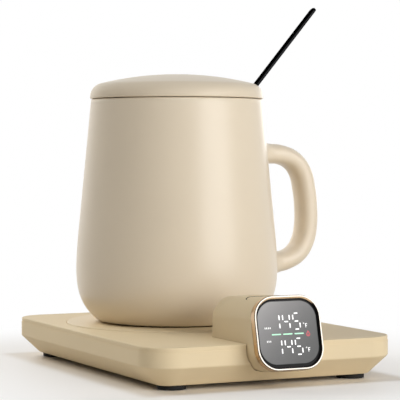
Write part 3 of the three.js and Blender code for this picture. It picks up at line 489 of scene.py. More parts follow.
def circuit_board():
    """Green board with paler copper tracks under its mask."""
    finish = Finish("circuit_board", {"Roughness": 0.35})
    place = finish.place()
    inputs = {"Vector": place, "Scale": 220, "Mortar Size": 0.03, "Brick Width": 0.9}
    bricks = finish.node("TexBrick", None, {**inputs, "Row Height": 0.32}).output("Fac")
    finish.drive("Base Color", finish.mix(bricks, (0.015, 0.10, 0.05), (0.05, 0.24, 0.12)))
    finish.bump(bricks, 0.02 * MM, 0.5)
    return finish.material


def mica_film():
    """Mica paper: overlapping golden flakes."""
    finish = Finish("mica_film", {"Roughness": 0.45})
    flakes = finish.node("TexVoronoi", None, {"Vector": finish.place(), "Scale": 650})
    shade = finish.noise(300, 4)
    finish.drive("Base Color", finish.mix(shade, (0.30, 0.19, 0.075), (0.62, 0.44, 0.20)))
    finish.bump(flakes, 0.05 * MM, 0.5)
    return finish.material


def fibre_felt():
    """White ceramic felt with loose fibres."""
    finish = Finish("fibre_felt", {"Roughness": 0.95, "Sheen Weight": 0.3})
    fibres = finish.noise(380, 6, 0.75, finish.place(scale=(1, 2.6, 1)))
    finish.drive("Base Color", finish.mix(fibres, (0.62, 0.60, 0.56), (0.90, 0.89, 0.86)))
    finish.bump(fibres, 0.2 * MM, 0.8)
    return finish.material


# Modelling

# Points nearer than this are one
SAME = 0.0005 * MM

# From the stand's front to the barrel's back, and from the display's face to the button's middle
BARREL_LENGTH = 34.3 * MM
BUTTON_BACK = 16.7 * MM

# Half the button's length and width, and where the four screws and three guide pins stand
BUTTON = Vector((10.5, 5, 0)) * MM
SCREWS = [Vector((x, y, 0)) * MM for x in (46, -46) for y in (32, -65)]
GUIDES = [
    Vector((36 * cos(radians(turn)), 36 * sin(radians(turn)), 0)) * MM for turn in (30, 150, 270)
]

# Radii in millimetres: the screws' bore, the room for their heads, the bosses in the tub and
# under the cover, and the sleeves of the guide pins
SCREW_BORE, SCREW_HEAD, TUB_BOSS, COVER_BOSS = 1.7, 2.9, 4.5, 3.2
GUIDE_BORE, GUIDE_SLEEVE = 1.8, 3.4

# The handle's line: out from the mug's axis and up from its foot, in millimetres, and its girth
HANDLE_LINE = (
    (37.5, 78.2, 1.75), (41.0, 77.9, 1.45), (44.2, 77.5, 1.17), (47.6, 77.3, 1.04),
    (53.8, 76.8, 1.0), (60.5, 74.1, 1.0), (65.1, 68.7, 1.0), (67.3, 60.9, 1.0),
    (68.4, 51.6, 1.0), (68.3, 42.7, 1.0), (66.6, 35.4, 1.0), (62.9, 29.9, 1.0),
    (57.7, 26.9, 1.0), (52.6, 25.8, 1.05), (49.6, 25.5, 1.18), (46.6, 25.4, 1.42),
    (43.5, 25.3, 1.7),
)


def display_matrix(display):
    """From the display's own axes, across, up its face and out of it, to the frame's."""
    lean = Matrix.Rotation(pi / 2 - display.tilt, 4, "X")
    stand = bpy.context.scene.warmer_stand
    middle = Vector((0, -stand.front - display.overhang, display.front_middle))
    return Matrix.Translation(SEAT + middle) @ lean


def bevel(bm, geometry, radius, segments, **settings):
    settings.update(offset_type="OFFSET", profile=0.5, material=-1)
    return bmesh.ops.bevel(bm, geom=geometry, offset=radius, segments=segments, **settings)


def soften(bm, edges, radius, segments=3):
    bevel(bm, edges, radius, segments, affect="EDGES", clamp_overlap=True)


def rounded_plate(bm, half_x, half_y, radius, segments, matrix=None):
    """A flat face with round corners, square to the matrix's third axis."""
    known = set(bm.faces)
    sizes = Matrix.Diagonal((half_x, half_y, 1, 1))
    made = bmesh.ops.create_grid(bm, x_segments=1, y_segments=1, size=1, matrix=sizes)
    made = bevel(bm, made["verts"], radius, segments, affect="VERTICES")
    bmesh.ops.remove_doubles(bm, verts=made["verts"], dist=SAME)
    face = next(face for face in bm.faces if face not in known)
    bmesh.ops.transform(bm, matrix=matrix or Matrix(), verts=face.verts[:])
    return face


def step(bm, face, inset, rise):
    """Draws the face on: inward by inset and along the frame's third axis by rise."""
    if inset:
        settings = {"use_boundary": True, "use_even_offset": True}
        bmesh.ops.inset_region(bm, faces=[face], thickness=inset, **settings)
    else:
        face = bmesh.ops.extrude_discrete_faces(bm, faces=[face])["faces"][0]
    bmesh.ops.translate(bm, verts=face.verts[:], vec=(0, 0, rise))
    return face


def steps_on(bm, face, *steps):
    """Draws the face on in steps of (inset, rise), given in millimetres."""
    for inset, rise in steps:
        face = step(bm, face, inset * MM, rise * MM)
    return face


def open_edges(bm):
    return [edge for edge in bm.edges if edge.is_boundary]


def turn_outwards(bm):
    bmesh.ops.recalc_face_normals(bm, faces=bm.faces[:])


def close(bm):
    """Caps the open ends and turns all faces outwards."""
    bmesh.ops.holes_fill(bm, edges=open_edges(bm))
    turn_outwards(bm)


def open_through(bm, face):
    """Takes the last face away and joins its rim to the first one, which makes a ring."""
    bmesh.ops.delete(bm, geom=[face], context="FACES_ONLY")
    bmesh.ops.bridge_loops(bm, edges=open_edges(bm))
    turn_outwards(bm)


def level_edges(bm, height):
    """The edges that lie flat at the height."""
    near = 0.002 * MM
    return [
        edge
        for edge in bm.edges
        if all(abs(vertex.co.z - height) < near for vertex in edge.verts)
    ]


def raised(height):
    return Matrix.Translation((0, 0, height))


def lying(x, y, z, turn=-pi / 2):
    """From an upright axis to one that lies along the stand."""
    return Matrix.Translation((x, y, z)) @ Matrix.Rotation(turn, 4, "X")


def mm(points, up=0, out=0):
    """A (radius, height) profile given in millimetres, moved up and out."""
    return [(out + radius * MM, up + height * MM) for radius, height in points]


def arc(middle, radius, start, end, count):
    """A (radius, height) profile round a middle, from one angle to another."""
    turns = [start + (end - start) * i / count for i in range(count + 1)]
    return [(middle[0] + radius * cos(turn), middle[1] + radius * sin(turn)) for turn in turns]


def turned(bm, profile, steps, closed=False, matrix=None):
    """A turned form from its (radius, height) profile. A closed profile makes a ring."""
    vertices = [bm.verts.new((radius, 0, height)) for radius, height in profile]
    pairs = list(zip(vertices, vertices[1:]))
    if closed:
        pairs.append((vertices[-1], vertices[0]))
    edges = [bm.edges.new(pair) for pair in pairs]
    before = set(bm.verts) - set(vertices)
    settings = {"axis": (0, 0, 1), "cent": (0, 0, 0), "angle": 2 * pi, "use_merge": True}
    bmesh.ops.spin(bm, geom=vertices + edges, steps=steps, **settings)
    made = [vertex for vertex in bm.verts if vertex not in before]
    bmesh.ops.remove_doubles(bm, verts=made, dist=SAME)
    made = [vertex for vertex in bm.verts if vertex not in before]
    faces = list({face for vertex in made for face in vertex.link_faces})
    bmesh.ops.recalc_face_normals(bm, faces=faces)
    if matrix:
        bmesh.ops.transform(bm, matrix=matrix, verts=made)


def ring(bm, place, bore, radius, low, high):
    """An upright ring whose two radii are given in millimetres."""
    bore, radius = bore * MM, radius * MM
    profile = [(bore, low), (radius, low), (radius, high), (bore, high)]
    turned(bm, profile, 32, closed=True, matrix=Matrix.Translation(place))


def rounded(points, radius, segments=4):
    """A (radius, height) profile with its inner corners rounded."""
    result = [points[0]]
    for before, corner, after in zip(points, points[1:], points[2:]):
        here = Vector(corner)
        back, on = Vector(before) - here, Vector(after) - here
        reach = min(radius, back.length * 0.45, on.length * 0.45)
        start, end = here + back.normalized() * reach, here + on.normalized() * reach
        first, last = start.lerp(here, 0.55), end.lerp(here, 0.55)
        arc = interpolate_bezier(start, first, last, end, segments + 1)
        result += [tuple(point)[:2] for point in arc]
    return result + [points[-1]]


def loose(name, bm):
    """An object from a bmesh that is moved from the seat to its place."""
    bmesh.ops.translate(bm, verts=bm.verts[:], vec=SEAT)
    return kept(name, bm)


def placed(name, bm, matrix):
    """An object from a bmesh that the matrix moves to its place."""
    bmesh.ops.transform(bm, matrix=matrix, verts=bm.verts[:])
    return kept(name, bm)


def kept(name, bm):
    """An object from a bmesh that is in its place."""
    mesh = bpy.data.meshes.new(name)
    bm.to_mesh(mesh)
    bm.free()
    made = bpy.data.objects.new(name, mesh)
    bpy.context.scene.collection.objects.link(made)
    return made


def settle(made):
    """Works an object's modifiers into its mesh."""
    graph = bpy.context.evaluated_depsgraph_get()
    graph.update()
    old = made.data
    made.data = bpy.data.meshes.new_from_object(made.evaluated_get(graph), depsgraph=graph)
    made.modifiers.clear()
    name = old.name
    bpy.data.meshes.remove(old)
    made.data.name = name


def modify(made, kind, **settings):
    """Puts a modifier on an object and works it into its mesh."""
    modifier = made.modifiers.new(kind.title(), kind)
    for setting, value in settings.items():
        setattr(modifier, setting, value)
    settle(made)


def carve(made, tool, operation="DIFFERENCE"):
    """Cuts an object by another, or joins it to it, and removes the other."""
    modify(made, "BOOLEAN", object=tool, operation=operation, solver="EXACT")
    bpy.data.objects.remove(tool)


def bevelled(made, width, segments, degrees):
    """Rounds the edges that turn by more than so many degrees, by a width in millimetres."""
    settings = {"limit_method": "ANGLE", "angle_limit": radians(degrees), "profile": 0.5}
    modify(made, "BEVEL", width=width * MM, segments=segments, **settings)


def mesh_of(*things):
    """A bmesh that holds the meshes of one or more objects."""
    bm = bmesh.new()
    for thing in things:
        bm.from_mesh(thing.data)
    return bm


def rework(made, bm):
    """Gives an object the bmesh for its mesh."""
    bm.to_mesh(made.data)
    bm.free()


def join(made, other):
    """Adds another object's mesh to an object's, uncut, and removes the other."""
    rework(made, mesh_of(other, made))
    bpy.data.objects.remove(other)


def join_flats(made):
    """Joins the flat faces that a cut left in slivers."""
    bm = mesh_of(made)
    bmesh.ops.dissolve_limit(
        bm, angle_limit=radians(0.1), verts=bm.verts[:], edges=bm.edges[:]
    )
    rework(made, bm)


def dress(made, body, slot, material, *nodes, sharp=radians(35), flat=False):
    """Gives a finished piece its shading, material, body and the nodes it stands for. Its slot is
    not used.
    """
    if flat:
        join_flats(made)
    mesh = made.data
    mesh.materials.clear()
    mesh.materials.append(material)
    mesh.shade_smooth()
    mesh.set_sharp_from_angle(angle=sharp)
    if flat:
        modify(made, "WEIGHTED_NORMAL", keep_sharp=True)
    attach(made, body)
    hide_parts(*nodes)
    return made


def paint_node(node, material):
    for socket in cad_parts[node].material_slots:
        socket.material = material


# Shapes that two pieces share


def stand_outline(bm, stand, inset, height):
    radius = stand.corner_radius - inset
    half_y = (stand.front + stand.back) / 2 - inset
    matrix = Matrix.Translation((0, (stand.back - stand.front) / 2, height))
    return rounded_plate(bm, stand.half_width - inset, half_y, radius, 16, matrix)


def stand_levels(stand):
    """Heights of the cover's foot, the crease and the underside, from the cover's top."""
    foot = -stand.cover_thickness
    return foot, foot - stand.band_height, below_seat("bottom_tub")


def hollow(bm, stand, face, top):
    """Draws a face at the height top down the tub's inner walls to its floor."""
    _, crease, under = stand_levels(stand)
    slope = stand.chamfer_width / (crease - under)
    corner = crease + stand.wall * tan(atan(slope) / 2)
    floor = under + stand.wall
    face = step(bm, face, 0, corner - top)
    return step(bm, face, (corner - floor) * slope, floor - corner)


def barrel(stand, display, margin=0.0, cap=True):
    """The display barrel, grown by margin on all sides but its front, which cap closes."""
    bm = bmesh.new()
    half, radius = display.half + margin, display.corner_radius + margin
    back = stand.front - BARREL_LENGTH - margin
    upright = lying(0, -back, display.back_middle, pi / 2)
    lean = Matrix.Translation(-SEAT) @ display_matrix(display) @ raised(-display.bezel_depth)
    face = rounded_plate(bm, half, half, radius, 14)
    start = face.copy()
    bmesh.ops.transform(bm, matrix=upright, verts=face.verts[:])
    bmesh.ops.transform(bm, matrix=lean, verts=start.verts[:])
    bmesh.ops.bridge_loops(bm, edges=face.edges[:] + start.edges[:])
    turn_outwards(bm)
    soften(bm, face.edges[:], display.back_fillet, 6)
    if not cap:
        bmesh.ops.delete(bm, geom=[start], context="FACES_ONLY")
    return bm


def notch(stand, display, margin):
    """The barrel as a tool to cut with."""
    return loose("notch", barrel(stand, display, margin))


def pill(name, half_x, half_y, low, high, matrix):
    """An upright block with round ends, its heights in millimetres."""
    bm = bmesh.new()
    face = rounded_plate(bm, half_x, half_y, half_y, 14, raised(low * MM))
    step(bm, face, 0, high * MM - low * MM)
    close(bm)
    return placed(name, bm, matrix)


def button_matrix(stand, display):
    """From the button's axes, with its top at zero, to the seat's."""
    lean = Matrix.Translation(-SEAT) @ display_matrix(display)
    front = lean @ Vector((0, display.half, -display.bezel_depth))
    back_y = BARREL_LENGTH - stand.front - display.back_fillet
    back = Vector((0, back_y, display.back_middle + display.half))
    slope = (front.z - back.z) / (back.y - front.y)
    y = BUTTON_BACK - stand.front - display.overhang
    top = Vector((0, y, back.z + slope * (back.y - y)))
    turn = Vector((0, -1, slope)).to_track_quat("-Y", "Z").to_matrix().to_4x4()
    return Matrix.Translation(top) @ turn


# Operators


class MUGWARMER_OT_stage(Operator):
    """Sets up the floor, the lamps, the white room and the camera"""

    bl_idname = "mugwarmer.stage"
    bl_label = "Stage"

    def execute(self, context):
        stage = context.scene.warmer_stage
        self.floor(stage)
        self.room(context.scene, stage)
        self.lamps()
        data = bpy.data.cameras.new("camera")
        data.lens, data.sensor_width = stage.lens, 36
        data.clip_start, data.clip_end = 0.01, 20
        camera = self.aimed(data, stage.camera_place, Vector(stage.camera_aim))
        context.scene.camera = camera
        context.scene.view_settings.view_transform = "Standard"
        return {"FINISHED"}

    def aimed(self, data, place, aim):
        """An object that stands at a place and looks along aim."""
        made = bpy.data.objects.new(data.name, data)
        made.location = place
        made.rotation_euler = aim.to_track_quat("-Z", "Y").to_euler()
        bpy.context.scene.collection.objects.link(made)
        return made

    def floor(self, stage):
        """A pale floor that fades into the white room away from the stand."""
        bm = bmesh.new()
        bmesh.ops.create_circle(bm, cap_ends=True, segments=64, radius=2.5)
        floor = kept("floor", bm)
        finish = Finish("floor", {"Roughness": 0.45})
        speck = finish.noise(600, 3)
        finish.tones(speck, stage.floor_colour, 0.99, 1.01)
        middle, half = node_middle("bottom_tub"), node_size("bottom_tub") / 2
        across, along, _ = finish.axes(finish.place(shift=-middle))
        away = beyond(across, along, half.x, half.y)
        white = finish.node("Emission", None, {"Color": (1, 1, 1, 1), "Strength": 1})
        fade = 0.44 * away.ramp(0, 0.008) + 0.56 * away.ramp(0.008, 0.12)
        factor = finish.seen() * fade
        shown = finish.node("MixShader", None, {0: factor, 2: white})
        finish.tree.links.new(finish.surface.outputs[0], shown.socket.node.inputs[1])
        output = finish.tree.nodes["Material Output"]
        finish.tree.links.new(shown.socket, output.inputs["Surface"])
        floor.data.materials.append(finish.material)

    def room(self, scene, stage):
        """A room that looks white, and lights with no more than the ambient share."""
        world = bpy.data.worlds.new("white room")
        nodes = Nodes(world)
        inputs = {"Value": nodes.seen(), "To Min": stage.ambient}
        background = nodes.tree.nodes["Background"].inputs
        nodes.feed(background["Color"], (1, 1, 1, 1))
        nodes.feed(background["Strength"], nodes.node("MapRange", None, inputs))
        scene.world = world

    def lamps(self):
        """Square lamps: where each stands, its side in metres and its power in watts."""
        aim = SEAT + Vector((0, -0.02, 0.04))
        boxes = {
            "key": ((0.588, -1.336, 0.370), 1.1, 18.5),
            "front": ((-0.40, -1.10, 0.98), 0.8, 4),
            "rim": ((-0.109, 1.467, 0.370), 0.8, 13),
            "back": ((-0.66, 0.89, 1.08), 0.8, 11),
            "right": ((1.12, 0.94, 0.2), 0.5, 1.7),
        }
        for name, (place, size, power) in boxes.items():
            data = bpy.data.lights.new(name, "AREA")
            data.shape, data.size, data.energy = "SQUARE", size, power
            lamp = self.aimed(data, place, aim - Vector(place))
            lamp.visible_glossy = name in ("key", "front", "right")


class MUGWARMER_OT_tub(Operator):
    """Models the stand's tub with its band, chamfered foot, bosses and openings"""

    bl_idname = "mugwarmer.tub"
    bl_label = "Tub"

    def execute(self, context):
        stand, display = context.scene.warmer_stand, context.scene.warmer_display
        foot, crease, under = stand_levels(stand)
        bm = bmesh.new()
        face = stand_outline(bm, stand, 0, foot)
        face = step(bm, face, 0, crease - foot)
        face = step(bm, face, stand.chamfer_width, under - crease)
        soften(bm, level_edges(bm, crease), stand.crease_radius, 4)
        soften(bm, level_edges(bm, under), stand.crease_radius, 4)
        face = bmesh.ops.holes_fill(bm, edges=open_edges(bm))["faces"][0]
        hollow(bm, stand, step(bm, face, stand.wall, 0), foot)
        turn_outwards(bm)
        tub = loose("stand_tub", bm)
        carve(tub, notch(stand, display, display.gap))
        carve(tub, loose("holes", self.holes(under)))
        inner = bmesh.new()
        sunk, boss_top, sleeve_top = (under + rise * MM for rise in (1.9, 4.5, 4.2))
        for place in SCREWS:
            ring(inner, place, SCREW_BORE, TUB_BOSS, sunk, boss_top)
        for place in GUIDES:
            ring(inner, place, GUIDE_BORE, GUIDE_SLEEVE, sunk, sleeve_top)
        join(tub, loose("bosses", inner))
        colours = context.scene.warmer_colours
        material = moulded_plastic("tub_moulding", colours.moulding)
        dress(tub, "stand", "cream_plastic", material, "bottom_tub", sharp=radians(40), flat=True)
        return {"FINISHED"}

    def holes(self, under):
        """The stepped holes for the screws and the hole for the cord's bush."""
        bm = bmesh.new()
        head, bore = SCREW_HEAD, SCREW_BORE
        steps = [(0, -1), (head, -1), (head, 1.4), (bore, 1.4), (bore, 3), (0, 3)]
        for place in SCREWS:
            turned(bm, mm(steps, under), 40, matrix=Matrix.Translation(place))
        bush = node_middle("cord_bush") - SEAT
        matrix = lying(bush.x, bush.y - 6 * MM, bush.z)
        turned(bm, mm([(0, 0), (2.4, 0), (2.4, 14), (0, 14)]), 32, matrix=matrix)
        return bm


class MUGWARMER_OT_cover(Operator):
    """Models the flat cover with its round opening"""

    bl_idname = "mugwarmer.cover"
    bl_label = "Cover"

    def execute(self, context):
        stand, display = context.scene.warmer_stand, context.scene.warmer_display
        foot = -stand.cover_thickness
        bm = bmesh.new()
        face = stand_outline(bm, stand, stand.cover_inset, 0)
        step(bm, face, stand.cover_draft, foot)
        close(bm)
        soften(bm, level_edges(bm, 0), stand.cover_edge, 4)
        cover = loose("stand_cover", bm)
        carve(cover, loose("opening", self.opening(stand, foot)))
        carve(cover, notch(stand, display, display.gap))
        lip = self.lip(stand, foot)
        low, high = below_seat("bottom_tub") + 4.8 * MM, foot + 0.1 * MM
        for place in SCREWS:
            ring(lip, place, SCREW_BORE, COVER_BOSS, low, high)
        rim = loose("lip", lip)
        carve(rim, notch(stand, display, display.gap))
        join(cover, rim)
        material = moulded_plastic("cover_moulding", context.scene.warmer_colours.moulding)
        dress(cover, "stand", "cream_plastic", material, "top_cover", flat=True)
        return {"FINISHED"}

    def opening(self, stand, foot):
        """The room of the plate's opening, with the opening's rounded upper edge."""
        bm = bmesh.new()
        radius, edge = stand.opening_radius, 0.25 * MM
        profile = [(0, foot - MM), (radius, foot - MM)]
        for turn in (0, 22.5, 45, 67.5, 90):
            away, rise = 1 - cos(radians(turn)), sin(radians(turn)) - 1
            profile.append((radius + edge * away, edge * rise))
        turned(bm, profile + [(radius + edge, MM), (0, MM)], 160)
        return bm

    def lip(self, stand, foot):
        """The lip under the cover that stands inside the tub's wall."""
        bm = bmesh.new()
        play, sunk, depth, width = 0.3 * MM, 0.1 * MM, 4, 1.5
        face = stand_outline(bm, stand, stand.wall + play, foot + sunk)
        open_through(bm, steps_on(bm, face, (0, -depth), (width, 0), (0, depth)))
        return bm


class MUGWARMER_OT_fasteners(Operator):
    """Turns the rubber feet and the cross-recessed screws"""

    bl_idname = "mugwarmer.fasteners"
    bl_label = "Feet and screws"

    def execute(self, context):
        stand = context.scene.warmer_stand
        under = below_seat("bottom_tub")
        floor = below_seat("rubber_foot_1")
        sole = mm([(0, 0.25), (3.6, 0.25), (4, 0), (6, 0)], floor)
        stem = mm([(6, 0), (2.5, 0), (2.5, 1.2), (0, 1.2)], under)
        black = rubber(context.scene.warmer_colours.rubber)
        steel = metal("screw_steel", (0.62, 0.61, 0.60), 0.3)
        for number in range(1, 5):
            node = f"rubber_foot_{number}"
            place = node_middle(node) - SEAT
            bm = bmesh.new()
            profile = rounded(sole + stem, stand.foot_edge)
            turned(bm, profile, 64, matrix=Matrix.Translation((place.x, place.y, 0)))
            dress(loose(f"foot_{number}", bm), "stand", "black_rubber", black, node)
            self.screw(number, steel)
        return {"FINISHED"}

    def screw(self, number, material):
        """A screw from below, with its cross recess."""
        node = f"cover_screw_{number}"
        low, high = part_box(node)
        place = (low + high) / 2 - SEAT
        head, tip = low.z - SEAT.z, high.z - SEAT.z
        bm = bmesh.new()
        cap = [(0, 0), (1.5, 0.05), (2.3, 0.35), (2.6, 0.9), (2.6, 1.7), (1.4, 1.7)]
        profile = mm(cap, head) + mm([(1.4, -1.4), (0, 0)], tip)
        turned(bm, profile, 40, matrix=Matrix.Translation((place.x, place.y, 0)))
        screw = loose(f"screw_{number}", bm)
        for turn in (0, pi / 2):
            tool = bmesh.new()
            sizes = Matrix.Diagonal((2.8 * MM, 0.6 * MM, 2 * MM, 1))
            spot = Matrix.Translation((place.x, place.y, head + 0.1 * MM))
            spot = spot @ Matrix.Rotation(turn, 4, "Z")
            bmesh.ops.create_cube(tool, size=1, matrix=spot @ sizes)
            carve(screw, loose("recess", tool))
        dress(screw, "stand", "screw_steel", material, node)


class MUGWARMER_OT_plate(Operator):
    """Turns the round heating plate"""

    bl_idname = "mugwarmer.plate"
    bl_label = "Heating plate"

    def execute(self, context):
        stand = context.scene.warmer_stand
        low, high = below_seat("heating_plate"), below_seat("heating_plate", 1)
        radius = node_size("heating_plate").x / 2
        bm = bmesh.new()
        profile = [(0, low), (radius, low), (radius, high), (0, high)]
        turned(bm, rounded(profile, stand.plate_edge, 6), 160)
        material = heatproof_coating(context.scene.warmer_colours.moulding)
        plate = loose("hot_plate", bm)
        dress(plate, "heating_unit", "cream_coating", material, "heating_plate")
        return {"FINISHED"}


class MUGWARMER_OT_housing(Operator):
    """Models the rounded display barrel and the button in its top"""

    bl_idname = "mugwarmer.housing"
    bl_label = "Display housing and button"

    def execute(self, context):
        scene = context.scene
        stand, display = scene.warmer_stand, scene.warmer_display
        housing = loose("display_barrel", barrel(stand, display, cap=False))
        modify(housing, "SOLIDIFY", thickness=display.wall, offset=-1, use_even_offset=True)
        spot = Matrix.Translation(SEAT) @ button_matrix(stand, display)
        gap = display.gap + 0.1 * MM
        carve(housing, pill("hole", BUTTON.x + gap, BUTTON.y + gap, -6, 1, spot))
        carve(housing, self.inside(stand))
        join(housing, self.flange(stand, display))
        bevelled(housing, 0.12, 2, 55)
        material = moulded_plastic("housing_moulding", scene.warmer_colours.moulding, 0.4)
        dress(housing, "stand", "cream_plastic", material, "display_housing", flat=True)

        # Button and the black ring round it follow the barrel's round top, a little under its
        # surface. The black ring is painted shade: a dark sheet that darkens the gap round the
        # button
        button_drop, gap_shade_drop = 0.18 * MM, 0.06 * MM
        cap = pill("button", BUTTON.x, BUTTON.y, -5.6, 1, spot)
        carve(cap, notch(stand, display, -button_drop), "INTERSECT")
        bevelled(cap, 0.2, 3, 50)
        material = moulded_plastic("button_moulding", scene.warmer_colours.moulding, 0.4)
        dress(cap, "push_button", "cream_plastic", material, "button_cap", flat=True)

        reach, room = BUTTON + Vector((gap, gap, 0)), BUTTON + Vector((gap, gap, 0)) * 0.5
        # Painted shade: a black ring fills the gap round the button so that the gap looks dark
        gap_shade = pill("button_gap_shade", reach.x, reach.y, -3, 1, spot)
        carve(gap_shade, pill("room", room.x, room.y, -4, 2, spot))
        carve(gap_shade, notch(stand, display, -gap_shade_drop), "INTERSECT")
        dress(gap_shade, "stand", "black_rubber", rubber(scene.warmer_colours.rubber))
        return {"FINISHED"}

    def inside(self, stand):
        """The room in the tub under the housing's flange."""
        bm = bmesh.new()
        top = -stand.cover_thickness - 1.5 * MM
        hollow(bm, stand, stand_outline(bm, stand, stand.wall, top), top)
        close(bm)
        return loose("inside", bm)

    def flange(self, stand, display):
        """The flat collar round the barrel, under the cover and inside the tub's wall."""
        reach, thickness, drop = 2.5 * MM, 1.2 * MM, 0.9 * MM
        back = BARREL_LENGTH - stand.front + reach
        front = -stand.front + 4.1 * MM
        bm = bmesh.new()
        sizes = Matrix.Diagonal((2 * (display.half + reach), back - front, thickness, 1))
        height = -stand.cover_thickness - drop
        middle = Matrix.Translation((0, (back + front) / 2, height))
        bmesh.ops.create_cube(bm, size=1, matrix=middle @ sizes)
        flange = loose("flange", bm)
        carve(flange, notch(stand, display, -0.05 * MM))
        return flange


class MUGWARMER_OT_bezel(Operator):
    """Models the polished ring round the window"""

    bl_idname = "mugwarmer.bezel"
    bl_label = "Display ring"

    def execute(self, context):
        display = context.scene.warmer_display
        bm = bmesh.new()
        half, start = display.half, raised(-3.1 * MM)
        face = rounded_plate(bm, half, half, display.corner_radius, 20, start)
        lip = display.lip / MM
        face = steps_on(bm, face, (0, 2.6), (0.3, 0.5), (lip, 0), (0.55, -0.6), (0, -1.7))
        open_through(bm, face)
        soften(bm, level_edges(bm, 0), 0.1 * MM, 3)
        soften(bm, level_edges(bm, -0.5 * MM), 0.12 * MM, 2)
        ring = placed("display_ring", bm, display_matrix(display))
        colours = context.scene.warmer_colours
        material = polished_gold(colours.gold, colours.lip, display)
        dress(ring, "stand", "rose_gold", material, "bezel_ring", sharp=radians(40), flat=True)
        return {"FINISHED"}


class MUGWARMER_OT_window(Operator):
    """Models the smoked window with its lit digits, ticks, bars and mark"""

    bl_idname = "mugwarmer.window"
    bl_label = "Window"

    def execute(self, context):
        display, colours = context.scene.warmer_display, context.scene.warmer_colours
        bm = bmesh.new()
        back, step_in = 2.2 * MM, 1.3 * MM
        half, radius = display.half - step_in, display.corner_radius - step_in
        face = rounded_plate(bm, half, half, radius, 20, raised(-back))
        step(bm, face, 0, back - display.recess)
        close(bm)
        glass = placed("window", bm, display_matrix(display))
        material = smoked_window(colours.window_reflection_light, colours.window_reflection_dark, display)
        dress(glass, "stand", "smoked_window", material, "display_glass")
        white = lit("lit_white", colours.digits, 1.0)
        marks = {
            "digits": (self.digits(), white),
            "bars": (self.bars(), lit("lit_green", colours.bars, 0.7)),
            "heat_mark": (self.drop(), lit("lit_red", colours.drop, 0.75)),
            "degrees": (self.degrees(), white),
            "row_ticks": (self.ticks(), lit("lit_grey", colours.digits, 0.72)),
        }
        shift = Matrix.Translation((-0.25 * MM, -0.1 * MM, -display.recess))
        for name, (bm, material) in marks.items():
            mark = placed(name, bm, display_matrix(display) @ shift)
            dress(mark, "stand", "smoked_window", material)
        return {"FINISHED"}

    def stroke(self, bm, across, up, size_x, size_y):
        """One lit bar with pointed ends."""
        spot = Matrix.Translation((across * MM, up * MM, 0.02 * MM))
        sizes = Matrix.Diagonal((size_x * MM, size_y * MM, 0.04 * MM, 1))
        made = bmesh.ops.create_cube(bm, size=1, matrix=spot @ sizes)
        upright = [
            edge
            for edge in {edge for vertex in made["verts"] for edge in vertex.link_edges}
            if abs(edge.verts[0].co.z - edge.verts[1].co.z) > 0.03 * MM
        ]
        soften(bm, upright, 0.42 * min(size_x, size_y) * MM, 2)

    def digits(self):
        """Two rows that read 145, in millimetres from the panel's middle."""
        bm = bmesh.new()
        long, wide, half_x, half_y = 2.05, 0.5, 1.55, 3.3
        strokes = {
            "top": (0, half_y, 1.75, wide),
            "middle": (0, 0, 1.75, wide),
            "bottom": (0, -half_y, 1.75, wide),
            "upper left": (-half_x, 1.7, wide, long),
            "upper right": (half_x, 1.7, wide, long),
            "lower right": (half_x, -1.7, wide, long),
        }
        shapes = {
            1: ("upper right", "lower right"),
            4: ("upper left", "upper right", "middle", "lower right"),
            5: ("top", "upper left", "middle", "lower right", "bottom"),
        }
        for row in (4.8, -5.6):
            for digit, across in ((1, -4.85), (4, -0.1), (5, 4.65)):
                for name in shapes[digit]:
                    x, y, size_x, size_y = strokes[name]
                    self.stroke(bm, across + x, row + y, size_x, size_y)
        return bm

    def bars(self):
        bm = bmesh.new()
        for across in (-5.3, 0.0, 5.3):
            self.stroke(bm, across, -0.35, 4.3, 0.52)
        return bm

    def degrees(self):
        """The degree ring and the F behind each number."""
        bm = bmesh.new()
        for across, up in ((8.6, 2.85), (8.8, -7.15)):
            self.stroke(bm, across + 0.15, up + 0, 0.22, 1.75)
            self.stroke(bm, across + 0.52, up + 0.77, 0.85, 0.2)
            self.stroke(bm, across + 0.45, up + 0, 0.7, 0.2)
            self.outline(bm, across - 0.75, up + 0.9, 0.3, 0.13)
        return bm

    def drop(self):
        bm = bmesh.new()
        self.outline(bm, 9.5, -0.75, 0.95, 0.42, point=0.55)
        self.stroke(bm, 9.5, -0.95, 0.5, 0.4)
        return bm

    def outline(self, bm, across, up, radius, width, point=0):
        """A flat ring, drawn out to a point at its top for the drop."""
        rims = set()
        for reach in (radius * MM, (radius - width) * MM):
            made = bmesh.ops.create_circle(bm, segments=32, radius=reach)["verts"]
            for vertex in made:
                rise = max(vertex.co.y / reach, 0)
                vertex.co.x *= 1 - point * rise
                vertex.co.y *= 1 + point * rise
                rims.update(vertex.link_edges)
            spot = Matrix.Translation((across * MM, up * MM, 0.03 * MM))
            bmesh.ops.transform(bm, matrix=spot, verts=made)
        rim = bmesh.ops.bridge_loops(bm, edges=list(rims))["faces"]
        bmesh.ops.solidify(bm, geom=rim, thickness=0.02 * MM)
        turn_outwards(bm)

    def ticks(self):
        """A row of short ticks before each number."""
        bm = bmesh.new()
        for middle, up, count in ((-9.1, 2.4, 4), (-9.05, -3.1, 3)):
            for number in range(count):
                across = middle + 0.78 * (number - (count - 1) / 2)
                self.stroke(bm, across, up, 0.36, 0.8)
        return bm


